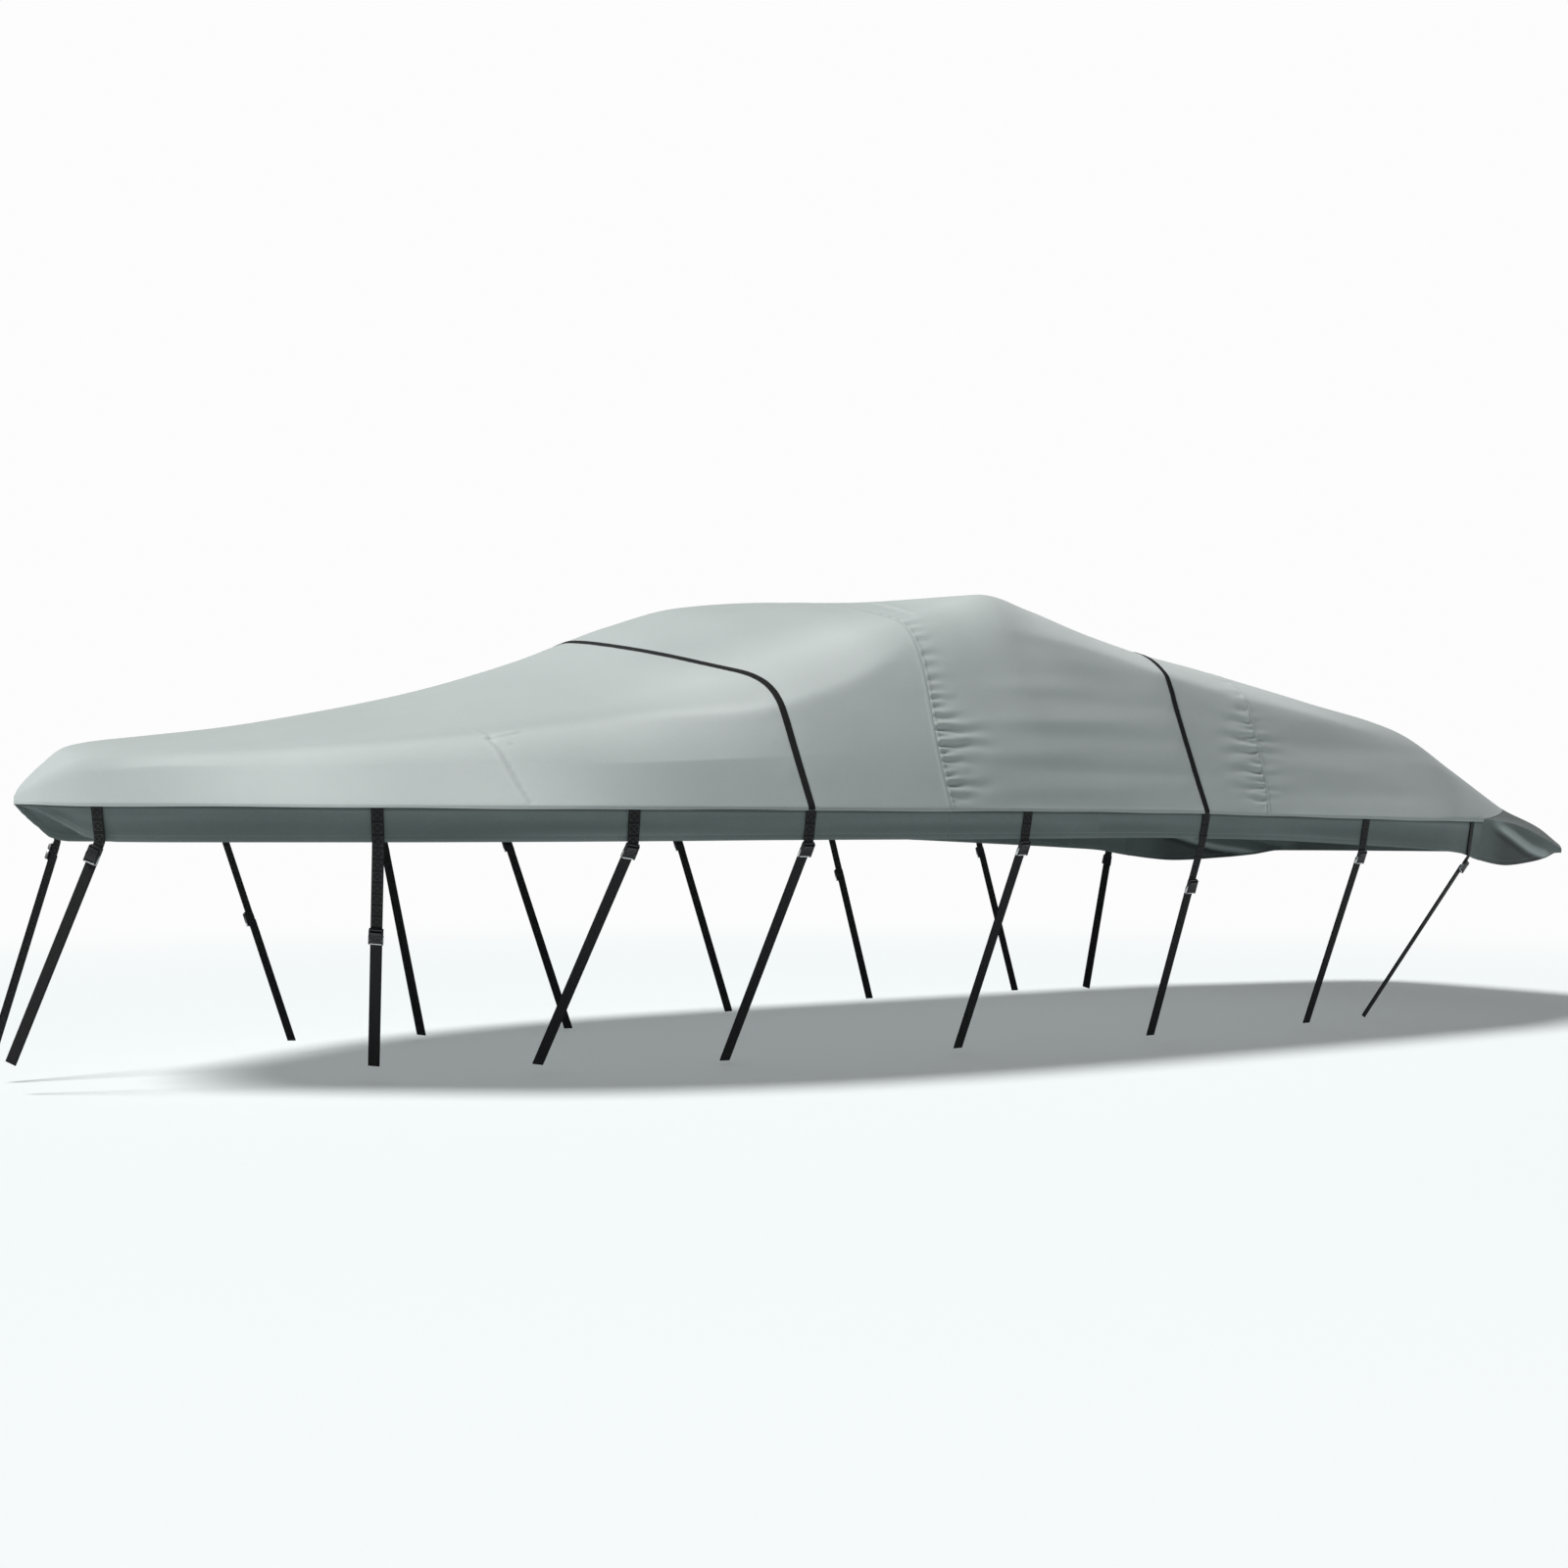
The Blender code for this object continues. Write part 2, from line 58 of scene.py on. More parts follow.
FORM = np.array([
    [-2.932, 0.000, 0.100, 0.115, 0.000, 0.123, 0.129, 0.00, 0.40],
    [-2.900, 0.150, 0.078, 0.112, 0.115, 0.157, 0.175, 0.00, 0.40],
    [-2.840, 0.250, 0.034, 0.108, 0.195, 0.204, 0.240, 0.00, 0.40],
    [-2.780, 0.325, -0.006, 0.106, 0.255, 0.233, 0.290, 0.00, 0.40],
    [-2.700, 0.400, -0.019, 0.105, 0.310, 0.248, 0.311, 0.00, 0.40],
    [-2.550, 0.520, -0.020, 0.104, 0.415, 0.258, 0.331, 0.00, 0.38],
    [-2.300, 0.700, -0.020, 0.101, 0.575, 0.270, 0.366, 0.00, 0.38],
    [-2.000, 0.900, -0.020, 0.098, 0.770, 0.290, 0.425, 0.00, 0.38],
    [-1.600, 1.075, -0.019, 0.097, 0.890, 0.332, 0.518, 0.00, 0.42],
    [-1.200, 1.190, -0.017, 0.096, 0.955, 0.390, 0.645, 0.00, 0.46],
    [-0.800, 1.250, -0.014, 0.096, 0.985, 0.480, 0.805, 0.00, 0.46],
    [-0.500, 1.275, -0.013, 0.096, 0.978, 0.585, 0.896, 0.00, 0.42],
    [-0.130, 1.295, -0.012, 0.097, 0.965, 0.720, 0.939, 0.00, 0.36],
    [0.150, 1.300, -0.010, 0.098, 0.955, 0.828, 0.950, 0.00, 0.30],
    [0.370, 1.300, -0.009, 0.098, 0.950, 0.910, 0.957, 0.00, 0.26],
    [0.550, 1.300, -0.008, 0.098, 0.975, 0.857, 0.937, 0.00, 0.26],
    [0.800, 1.300, -0.007, 0.098, 1.015, 0.769, 0.895, 0.00, 0.28],
    [1.080, 1.298, -0.010, 0.096, 1.050, 0.696, 0.842, 0.00, 0.30],
    [1.405, 1.295, -0.015, 0.089, 1.052, 0.649, 0.777, 0.00, 0.32],
    [2.000, 1.280, -0.038, 0.081, 1.040, 0.545, 0.668, 0.03, 0.34],
    [2.480, 1.245, -0.060, 0.075, 1.010, 0.463, 0.558, 0.10, 0.36],
    [2.720, 1.190, -0.075, 0.074, 0.965, 0.312, 0.395, 0.28, 0.38],
    [2.900, 1.140, -0.105, 0.073, 0.935, 0.128, 0.178, 0.58, 0.40],
    [3.180, 1.075, -0.132, 0.055, 0.920, 0.082, 0.124, 0.46, 0.42],
    [3.470, 1.000, -0.118, 0.005, 0.870, 0.045, 0.078, 0.32, 0.42],
    [3.780, 0.900, -0.088, -0.058, 0.800, -0.026, -0.010, 0.20, 0.42],
])
LAST = len(FORM) - 1

# ---- sizes of the sheets alone ----
# They are drawn thinner than the solids, as coated cloth with its turned edges is.
CLOTH_SHOWN = 0.0016
# Cloth of a cross seam that runs on under the piece ahead, and how far under it lies.
ALLOWANCE, ALLOWANCE_DROP = 0.007, 0.0026
SEAM_GAP = BUTT_GAP / 2
TURNED_EDGE = 0.009           # height of the turned edge that laps over the skirt
FELLED = 0.014                # width of the felled seam on each side of a cross seam
DOUBLED = 0.0009              # what a turned edge or a felled seam stands out
SEAM_SWEEP = 0.10             # how far the crown of a cross seam lies aft of its ends
HEM_TUNNEL = 0.020            # height of the tunnel that holds the drawcord
MARK_REACH, SEAM_REACH = 0.08, 0.06     # beyond these, edges and seams leave no mark
FLOOR_LEVEL = -1.752

# ---- how finely the form is worked out ----
FINE_COUNT, TABLE_STATIONS, TABLE_SHARES = 5201, 2700, 161
CORNER_POINTS, TOP_POINTS = 40, 80
SLOPE_STEP = 0.02             # rows on each side that give the plan's direction
WELD = 0.00005
CLOTH_ANGLE, BUCKLE_ANGLE = math.radians(50), math.radians(35)
MIRROR = np.array([1, -1, 1])
SIDES = ((-1, "port"), (1, "starboard"))
CROSS_SEAMS = (BOW_SEAM, STERN_SEAM)


def curve_slopes(values):
    """Slopes at each row of a smooth curve that never overshoots its values."""
    rise = np.diff(values, axis=0)
    slopes = np.zeros_like(values)
    slopes[0], slopes[-1] = rise[0], rise[-1]
    product, total = rise[:-1] * rise[1:], rise[:-1] + rise[1:]
    slopes[1:-1] = np.where(product > 0, 2 * product / np.where(total == 0, 1, total), 0.0)
    return slopes


FORM_SLOPES = curve_slopes(FORM)


def section(at):
    """The cross-sections at row numbers, which may lie between two rows."""
    at = np.clip(np.atleast_1d(np.asarray(at, float)), 0, LAST)
    i = np.clip(np.floor(at).astype(int), 0, LAST - 1)
    t = (at - i)[:, None]
    return (
        (2 * t**3 - 3 * t**2 + 1) * FORM[i]
        + (t**3 - 2 * t**2 + t) * FORM_SLOPES[i]
        + (3 * t**2 - 2 * t**3) * FORM[i + 1]
        + (t**3 - t**2) * FORM_SLOPES[i + 1]
    )


FINE_ROWS = np.linspace(0, LAST, FINE_COUNT)
FINE_X = section(FINE_ROWS)[:, X]


def row_at(x):
    """The row number whose sides are at x."""
    return np.interp(x, FINE_X, FINE_ROWS)


def walk(start, end, spacing):
    """Steps from start to end; spacing(x) is the length of the step that starts at x."""
    steps = [start]
    while steps[-1] < end:
        steps.append(steps[-1] + spacing(steps[-1]))
    steps = np.array(steps)
    return start + (steps - start) * (end - start) / (steps[-1] - start)


def stations(first, last, spacing):
    """Row numbers between two rows, spaced in metres."""
    at = row_at(walk(FORM[first][X], FORM[last][X], spacing))
    at[0], at[-1] = first, last
    return at


def lengths_along(points):
    """The distance along a line of points, from its first."""
    steps = np.linalg.norm(np.diff(points, axis=0), axis=1)
    return np.concatenate([[0], np.cumsum(steps)])


def half_rib(s):
    """Half a section from seam to crown: length from the seam, y and z at fine steps."""
    seam = np.array([s[BEAM], s[SEAM]])
    shoulder = np.array([s[SHOULDER_Y], s[SHOULDER_Z]])
    low = shoulder + (seam - shoulder) * s[CORNER]

    def over(y):
        reach = max(s[SHOULDER_Y], 1e-6)
        return s[CROWN] - (s[CROWN] - s[SHOULDER_Z]) * (y / reach) ** TOP_POWER

    high = np.array([s[SHOULDER_Y] * TOP_START, 0.0])
    high[1] = over(high[0])
    t = np.linspace(0, 1, CORNER_POINTS)[:, None]
    side = seam + (low - seam) * t
    corner = low * (1 - t) ** 2 + shoulder * 2 * t * (1 - t) + high * t**2
    y = high[0] * (1 - np.linspace(0, 1, TOP_POINTS))
    points = np.concatenate([side[:-1], corner[:-1], np.stack([y, over(y)], axis=1)])
    return lengths_along(points), points[:, 0], points[:, 1]


def cloth_table():
    """The outer face of the whole top as a grid: stations along x, shares of the girth
    from seam to crown; and the girth at each station."""
    xs = np.linspace(FORM[0][X], FORM[-1][X], TABLE_STATIONS)
    shares = np.linspace(0, 1, TABLE_SHARES)
    grid, girths = [], []
    for s in section(row_at(xs)):
        length, y, z = half_rib(s)
        along = shares * length[-1]
        yy, zz = np.interp(along, length, y), np.interp(along, length, z)
        narrowing = np.minimum(1.0, yy / max(s[BEAM], 1e-6)) ** SWEEP_POWER
        grid.append(np.stack([s[X] + s[SWEEP] * (1 - narrowing), yy, zz + HEM_LEVEL], axis=1))
        girths.append(length[-1])
    return xs, np.array(grid), np.array(girths)


TABLE_X, TABLE, TABLE_GIRTH = cloth_table()


def girth(x):
    """Length of cloth from the seam line up to the crown at x."""
    return np.interp(x, TABLE_X, TABLE_GIRTH)


def on_cloth(x, share):
    """Starboard points of the cloth's outer face at x and a share of the girth."""
    x, share = np.broadcast_arrays(np.asarray(x, float), np.asarray(share, float))
    i = np.clip((x - TABLE_X[0]) / (TABLE_X[1] - TABLE_X[0]), 0, TABLE_STATIONS - 1.000001)
    j = np.clip(share, 0, 1) * (TABLE_SHARES - 1) * 0.9999999
    i0, j0 = np.floor(i).astype(int), np.floor(j).astype(int)
    fi, fj = (i - i0)[..., None], (j - j0)[..., None]
    low = TABLE[i0, j0] * (1 - fj) + TABLE[i0, j0 + 1] * fj
    high = TABLE[i0 + 1, j0] * (1 - fj) + TABLE[i0 + 1, j0 + 1] * fj
    return low * (1 - fi) + high * fi


def outline(at, inset):
    """Points (x, y) of the starboard side's plan, set in square to it by inset."""
    at = np.atleast_1d(np.asarray(at, float))
    before, after, here = section(at - SLOPE_STEP), section(at + SLOPE_STEP), section(at)
    dx, dy = after[:, X] - before[:, X], after[:, BEAM] - before[:, BEAM]
    length = np.hypot(dx, dy)
    tip = here[:, BEAM] < 1e-6
    dx, dy = np.where(tip, 0.0, dx / length), np.where(tip, 1.0, dy / length)
    x = here[:, X] + dy * inset
    y = here[:, BEAM] - dx * inset
    return np.stack([x, np.maximum(y, 0.0)], axis=1)


# ---- tools for sheets ----
def select_only(obj):
    bpy.ops.object.select_all(action="DESELECT")
    obj.select_set(True)
    bpy.context.view_layer.objects.active = obj


def edit_whole(obj, operation, **settings):
    """Runs one mesh operation on the whole of a piece."""
    select_only(obj)
    bpy.ops.object.mode_set(mode="EDIT")
    bpy.ops.mesh.select_all(action="SELECT")
    operation(**settings)
    bpy.ops.object.mode_set(mode="OBJECT")


def smooth(obj, angle):
    select_only(obj)
    bpy.ops.object.shade_smooth_by_angle(angle=angle)


def read_all(source, key, width=1, kind=np.float32):
    """A row of values for each item of one of a mesh's lists."""
    values = np.zeros(len(source) * width, kind)
    source.foreach_get(key, values)
    return values.reshape(-1, width)


def grid_sheet(name, points, metres, marks):
    """A sheet through a grid of points. Its UV map is in metres of cloth; marks are
    the tone and the distances from a turned edge and from a cross seam."""
    rows, columns = points.shape[:2]
    bpy.ops.object.select_all(action="DESELECT")
    bpy.ops.mesh.primitive_grid_add(x_subdivisions=columns - 1, y_subdivisions=rows - 1, size=1)
    obj = bpy.context.object
    obj.name = obj.data.name = name
    mesh = obj.data
    flat = read_all(mesh.vertices, "co", 3).astype(float)
    column = np.rint((flat[:, 0] + 0.5) * (columns - 1)).astype(int)
    row = np.rint((flat[:, 1] + 0.5) * (rows - 1)).astype(int)
    mesh.vertices.foreach_set("co", points[row, column].astype(np.float32).ravel())
    corner = read_all(mesh.loops, "vertex_index", kind=np.int32)[:, 0]
    mesh.uv_layers[0].name = "cloth"
    uv = metres[row, column][corner].astype(np.float32)
    mesh.uv_layers[0].data.foreach_set("uv", uv.ravel())
    for key, values in marks.items():
        mark = mesh.attributes.new(key, "FLOAT", "POINT")
        mark.data.foreach_set("value", values[row, column].astype(np.float32))
    mesh.update()
    edit_whole(obj, bpy.ops.mesh.remove_doubles, threshold=WELD)
    return obj


def cloth_sheet(name, points, metres, marks, level):
    """A sheet that faces away from a line along X at a level, with its thickness."""
    obj = grid_sheet(name, points, metres, marks)
    faces = obj.data.polygons
    normal, centre = read_all(faces, "normal", 3), read_all(faces, "center", 3)
    away = centre[:, 1:] - np.array([0.0, level])
    if (read_all(faces, "area") * normal[:, 1:] * away).sum() < 0:
        edit_whole(obj, bpy.ops.mesh.flip_normals)
    wall = obj.modifiers.new("thickness", "SOLIDIFY")
    wall.thickness = CLOTH_SHOWN
    wall.offset = -1.0
    wall.use_even_offset = False
    select_only(obj)
    bpy.ops.object.modifier_apply(modifier=wall.name)
    smooth(obj, CLOTH_ANGLE)
    return obj


def both_sides(half, port=None):
    """A grid from the port edge over the crown to the starboard one, from one half."""
    return np.concatenate([half if port is None else port, half[:, -2::-1]], axis=1)


def sheet_normals(points, level):
    """Unit normals of a grid of points, away from a line along X at a level."""
    normal = np.cross(np.gradient(points, axis=1), np.gradient(points, axis=0))
    size = np.linalg.norm(normal, axis=2, keepdims=True)
    normal = normal / np.maximum(size, 1e-12)
    away = (points - np.array([0, 0, level])) * np.array([0, 1, 1])
    facing = (normal * away).sum(axis=2, keepdims=True)
    return np.where(facing < 0, -normal, normal)


def tuck_under(points, normals, ahead, metres, marks):
    """Adds the seam allowance of the front edge, which runs on under the piece ahead."""
    under = points[:1] - normals[:1] * ALLOWANCE_DROP
    ahead = ahead / np.linalg.norm(ahead, axis=1, keepdims=True)
    points = np.concatenate([under + ahead * ALLOWANCE, under, points])
    metres = np.concatenate([metres[:1] - np.array([ALLOWANCE, 0]), metres[:1], metres])
    marks = {key: np.concatenate([mark[:1], mark[:1], mark]) for key, mark in marks.items()}
    return points, metres, marks


def bell(value, width):
    return np.exp(-((value / width) ** 2))


def ramp(value, low, high):
    """0 below low, 1 above high, and smooth between."""
    t = np.clip((value - low) / (high - low), 0, 1)
    return t * t * (3 - 2 * t)


def soft_noise(x, y, seed):
    """Smooth unevenness between about -1 and 1: four waves in each of three octaves."""
    rng = np.random.default_rng(seed)
    total, weight = np.zeros_like(x), 0.0
    for octave in range(3):
        scale = 2.0**octave
        for _ in range(4):
            angle, phase = rng.uniform(0, 2 * math.pi, 2)
            stretch = rng.uniform(0.7, 1.4) * scale
            across = x * math.cos(angle) + y * math.sin(angle)
            total = total + np.sin(across * stretch + phase) / scale
        weight += 4 / scale
    return total / weight * 1.6


# ---- folds placed one by one, from the seam line up, on the port side ----
# height up the cloth from the lower seam, how far the tuck runs from the cross seam,
# its width, its depth and how it leans; the starboard side gets its own small changes.
BOW_TUCKS = [
    (0.022, 0.10, 0.0070, 0.0030, 0.10), (0.045, 0.16, 0.0080, 0.0050, -0.06),
    (0.091, 0.24, 0.0095, 0.0100, -0.03), (0.123, 0.15, 0.0075, 0.0055, 0.06),
    (0.160, 0.10, 0.0070, 0.0036, 0.02), (0.186, 0.19, 0.0080, 0.0075, -0.06),
    (0.218, 0.14, 0.0075, 0.0060, 0.04), (0.250, 0.28, 0.0095, 0.0115, -0.02),
    (0.284, 0.11, 0.0070, 0.0040, 0.03), (0.316, 0.27, 0.0095, 0.0110, -0.08),
    (0.345, 0.10, 0.0065, 0.0036, 0.04), (0.367, 0.17, 0.0080, 0.0070, -0.10),
    (0.405, 0.11, 0.0075, 0.0042, 0.02), (0.443, 0.14, 0.0080, 0.0060, -0.07),
    (0.475, 0.10, 0.0075, 0.0042, 0.03), (0.520, 0.12, 0.0085, 0.0052, -0.06),
    (0.575, 0.09, 0.0085, 0.0042, 0.03), (0.630, 0.12, 0.0090, 0.0056, -0.08),
    (0.700, 0.10, 0.0090, 0.0048, 0.00), (0.745, 0.09, 0.0080, 0.0040, 0.06),
    (0.800, 0.13, 0.0095, 0.0062, -0.05), (0.860, 0.10, 0.0085, 0.0050, 0.05),
    (0.915, 0.12, 0.0090, 0.0058, -0.03), (0.975, 0.09, 0.0085, 0.0044, 0.02),
    (1.040, 0.08, 0.0090, 0.0036, 0.00),
]
STERN_TUCKS = [
    (0.055, 0.20, 0.0085, 0.0066, 0.05), (0.085, 0.12, 0.0070, 0.0040, -0.02),
    (0.109, 0.24, 0.0090, 0.0080, -0.04), (0.135, 0.16, 0.0075, 0.0056, 0.05),
    (0.175, 0.25, 0.0095, 0.0088, 0.03), (0.215, 0.12, 0.0075, 0.0042, -0.03),
    (0.240, 0.10, 0.0070, 0.0036, 0.02), (0.266, 0.24, 0.0090, 0.0084, -0.06),
    (0.305, 0.17, 0.0080, 0.0062, 0.04), (0.330, 0.25, 0.0090, 0.0082, -0.03),
    (0.365, 0.10, 0.0070, 0.0036, 0.00), (0.393, 0.20, 0.0085, 0.0066, 0.05),
    (0.450, 0.13, 0.0085, 0.0042, 0.00), (0.520, 0.14, 0.0090, 0.0044, -0.04),
    (0.600, 0.11, 0.0090, 0.0036, 0.03), (0.690, 0.09, 0.0100, 0.0030, 0.00),
]
# a soft crease over the roof, just aft of the bow seam, as (x, up) points
ROOF_CREASE = [(0.200, 1.450), (0.163, 1.337), (0.100, 1.112), (0.073, 0.936), (0.050, 0.820)]
# where the cloth turns over a hard edge beneath it, as x and height: (x, up) points
MID_SHOULDER = np.array([
    (-1.35, 0.390), (-1.197, 0.387), (-0.998, 0.381), (-0.797, 0.387), (-0.646, 0.417),
    (-0.430, 0.486), (-0.310, 0.542), (-0.094, 0.668), (0.10, 0.78),
])
AFT_SHOULDER = np.array([
    (0.30, 0.740), (0.485, 0.700), (0.671, 0.672), (0.837, 0.637), (0.986, 0.582),
    (1.182, 0.548), (1.385, 0.514), (1.90, 0.46), (2.40, 0.40),
])
# long low waves along the middle panel: height, start, end, width, depth, slope
MIDDLE_WAVES = [
    (0.075, -0.10, 0.90, 0.034, 0.0022, 0.010), (0.150, 0.05, 1.35, 0.030, -0.0024, -0.012),
    (0.215, -0.10, 0.70, 0.032, 0.0026, 0.020), (0.290, 0.10, 1.30, 0.036, -0.0022, -0.020),
    (0.350, -0.05, 0.95, 0.030, 0.0024, 0.024), (0.430, 0.20, 1.38, 0.040, -0.0024, -0.018),
    (0.490, 0.00, 0.80, 0.034, 0.0022, 0.030), (0.590, 0.30, 1.30, 0.044, 0.0024, -0.030),
    (0.680, 0.10, 0.90, 0.044, -0.0020, 0.020),
]
# low pulls in the stern panel, from the cross seam down to the stern
STERN_WAVES = [
    (0.100, 1.40, 2.60, 0.040, -0.0024, 0.015), (0.210, 1.45, 2.30, 0.042, 0.0028, -0.020),
    (0.320, 1.42, 2.80, 0.044, -0.0030, 0.030), (0.430, 1.50, 2.50, 0.040, 0.0026, -0.010),
    (0.540, 1.60, 2.90, 0.050, -0.0026, 0.000),
]
# the flat band along the edge of the bow panel, as x and height: its lower and upper line
BAND_LOW = np.array([
    (-2.95, 0.10), (-2.565, 0.137), (-2.019, 0.142), (-1.640, 0.159), (-1.068, 0.181),
    (-0.60, 0.21),
])
BAND_HIGH = np.array([
    (-2.95, 0.15), (-2.557, 0.204), (-1.991, 0.267), (-1.648, 0.336), (-1.422, 0.381),
    (-1.155, 0.425), (-0.640, 0.45),
])
# a crease down the port side of the bow panel, and the small star of folds at its top
DIAGONAL = [(-1.657, 0.295), (-1.640, 0.226), (-1.631, 0.154), (-1.614, 0.069), (-1.597, 0.0)]
STAR = [
    [(-1.725, 0.345), (-1.657, 0.297)], [(-1.683, 0.372), (-1.657, 0.297)],
    [(-1.657, 0.297), (-1.560, 0.330)], [(-1.657, 0.297), (-1.605, 0.262)],
]
WAVE_FADE = 0.35              # length over which a long wave rises and fades
EDGE_ROUND, EDGE_WIDTH = 0.012, 0.075   # radius of a turned edge, and how far it shows
CALM_REACH = 0.2              # the soft unevenness stays this far off a cross seam


def tucks(x, up, table, seam_x, direction, side):
    """Small folds that run from a gathered seam into the cloth and fade there: each a
    narrow valley with a soft ridge above it and a softer one below."""
    relief = np.zeros_like(x)
    rng = np.random.default_rng(7 if side < 0 else 23)
    away = np.maximum((x - seam_x) * direction, 0.0)
    for height, length, width, depth, lean in table:
        if side > 0:
            height = height + rng.uniform(-0.012, 0.012)
            length, depth = length * rng.uniform(0.7, 1.2), depth * rng.uniform(0.7, 1.1)
        spread = width * (1 + 1.5 * away / length)
        wander = 0.004 * np.sin(away * 38 + height * 60) * ramp(away, 0, 0.1)
        place = (up - height - lean * away - wander) / spread
        fade = (0.15 + 0.85 * ramp(away, 0.0, 0.018)) * np.clip(1 - away / length, 0, 1) ** 1.25
        ridges = 0.55 * bell(place - 1.9, 1.2) + 0.25 * bell(place + 2.0, 1.2)
        relief -= depth * fade * (bell(place, 1.0) - ridges)
    return relief


def waves(x, up, table, side):
    """Long low waves along a panel, which rise and fade over WAVE_FADE."""
    relief = np.zeros_like(x)
    shift = 0.0 if side < 0 else 0.02
    for height, start, end, width, depth, slope in table:
        window = ramp(x, start, start + WAVE_FADE) * (1 - ramp(x, end - WAVE_FADE, end))
        middle = height + shift + slope * (x - (start + end) / 2)
        relief += depth * window * bell(up - middle, width)
    return relief


def line_height(x, points):
    """Height of a line of (x, up) points at x, rounded where its pieces meet."""
    steps = (-0.09, -0.045, 0.0, 0.045, 0.09)
    around = [np.interp(x + step, points[:, 0], points[:, 1]) for step in steps]
    return np.average(around, axis=0, weights=(1, 3, 4, 3, 1))


def turned_edge(x, up, points, height, fade_in, fade_out):
    """A firm rounded edge along a line, which makes a soft turn crisper."""
    start, end = points[0, 0], points[-1, 0]
    present = ramp(x, start, start + fade_in) * (1 - ramp(x, end - fade_out, end))
    away = np.sqrt((up - line_height(x, points)) ** 2 + EDGE_ROUND**2) - EDGE_ROUND
    return height * present * np.exp(-away / EDGE_WIDTH)


def shoulders(x, up):
    height = 0.010 - 0.004 * ramp(x, -0.62, -0.28)
    middle = turned_edge(x, up, MID_SHOULDER, height, 0.35, 0.34)
    return middle + turned_edge(x, up, AFT_SHOULDER, 0.013, 0.30, 0.60)


def crease_distance(x, up, points):
    """Distance from a line of (x, up) points, the side of it and how far along it."""
    best, side, share = np.full_like(x, 9.0), np.zeros_like(x), np.zeros_like(x)
    lengths = [math.dist(a, b) for a, b in zip(points, points[1:])]
    done = 0.0
    for a, b, length in zip(points, points[1:], lengths):
        dx, dy = (b[0] - a[0]) / length, (b[1] - a[1]) / length
        t = np.clip((x - a[0]) * dx + (up - a[1]) * dy, 0, length)
        ex, ey = x - a[0] - t * dx, up - a[1] - t * dy
        closer = np.hypot(ex, ey) < best
        best = np.where(closer, np.hypot(ex, ey), best)
        side = np.where(closer, np.sign(ex * dy - ey * dx), side)
        share = np.where(closer, (done + t) / sum(lengths), share)
        done += length
    return best, side, share


def band_edges(x):
    """Heights of the lower and upper line of the flat band on the bow panel."""
    return (np.interp(x, line[:, 0], line[:, 1]) for line in (BAND_LOW, BAND_HIGH))


def bow_relief(x, up, side):
    """The flat band, the turned edges and, to port, a diagonal crease and its star."""
    low, high = band_edges(x)
    present = ramp(x, -2.80, -2.45) * (1 - ramp(x, -1.15, -0.60))
    inside = np.clip((high - up) / (high - low), 0, 1)
    under = np.clip(up / low, 0, 1)
    relief = 0.0075 * present * np.where(up > low, inside**1.25, under**0.9)
    if side < 0:
        distance, hand, share = crease_distance(x, up, DIAGONAL)
        lip = 0.0022 * bell(distance - 0.012, 0.009) * (hand > 0)
        relief += (1 - 0.5 * share) * (lip - 0.0030 * bell(distance, 0.006))
        relief -= 0.0016 * bell(distance, 0.030) * (hand < 0)
        for arm in STAR:
            distance, _, share = crease_distance(x, up, arm)
            relief += 0.0022 * bell(distance, 0.009) * (0.4 + 0.6 * share)
            relief -= 0.0014 * bell(distance - 0.014, 0.008)
    calm = ramp(seam_x(BOW_SEAM, up) - x, 0.0, CALM_REACH) * ramp(x, -2.90, -2.60)
    return relief + shoulders(x, up) + 0.0016 * calm * soft_noise(x * 2.2, up * 5.0, 11)


# ---- the straps over the top press a shallow groove into the cloth ----
# name, x at the side, how far it leans aft and bends forward, and where its bend begins
OVER_STRAPS = [
    ("over_strap_front", -0.680, 0.030, 0.330, 0.95),
    ("over_strap_rear", 1.076, 0.0, -0.020, 1.05),
]


def strap_x(strap, y):
    """Where the middle of a strap over the top lies at y."""
    _, x, lean, forward, reach = strap
    beam = section(row_at(x))[0][BEAM]
    up = np.clip((beam - np.abs(y)) / (beam - reach), 0, 1)
    return x + lean * up - forward * np.maximum(0.0, 1 - (y / reach) ** 2)


def strap_grooves(x, y, up):
    relief = np.zeros_like(x)
    for strap in OVER_STRAPS:
        away = np.abs(x - strap_x(strap, y))
        ripple = 0.0006 * np.sin(up * 46.0 + away * 30.0) * bell(away - 0.05, 0.04)
        relief += ripple * ramp(up, 0.02, 0.10)
        relief -= 0.0012 * bell(away, 0.022) * ramp(up, 0.0, 0.05)
    return relief


# ---- light panels ----
def seam_x(seam, up):
    """x of a cross seam at a height up the cloth."""
    swept = ramp(up, -0.10, 0.90) if seam == BOW_SEAM else 1 - np.exp(-np.maximum(up, 0) / 0.25)
    return FORM[seam][X] + SEAM_SWEEP * swept


def heights_up(scheme, total):
    """Heights up the cloth from the lap: where each spacing ends, and the spacing."""
    fine_to, fine, middle_to, middle, coarse = scheme
    count = int(round((total - middle_to) / coarse)) + 1
    return np.concatenate([
        np.array([0, 0.0015, 0.004, TURNED_EDGE, TURNED_EDGE + 0.002]) - LAP,
        np.arange(0.002, fine_to, fine),
        np.arange(fine_to, middle_to, middle),
        np.linspace(middle_to, total, count),
    ])


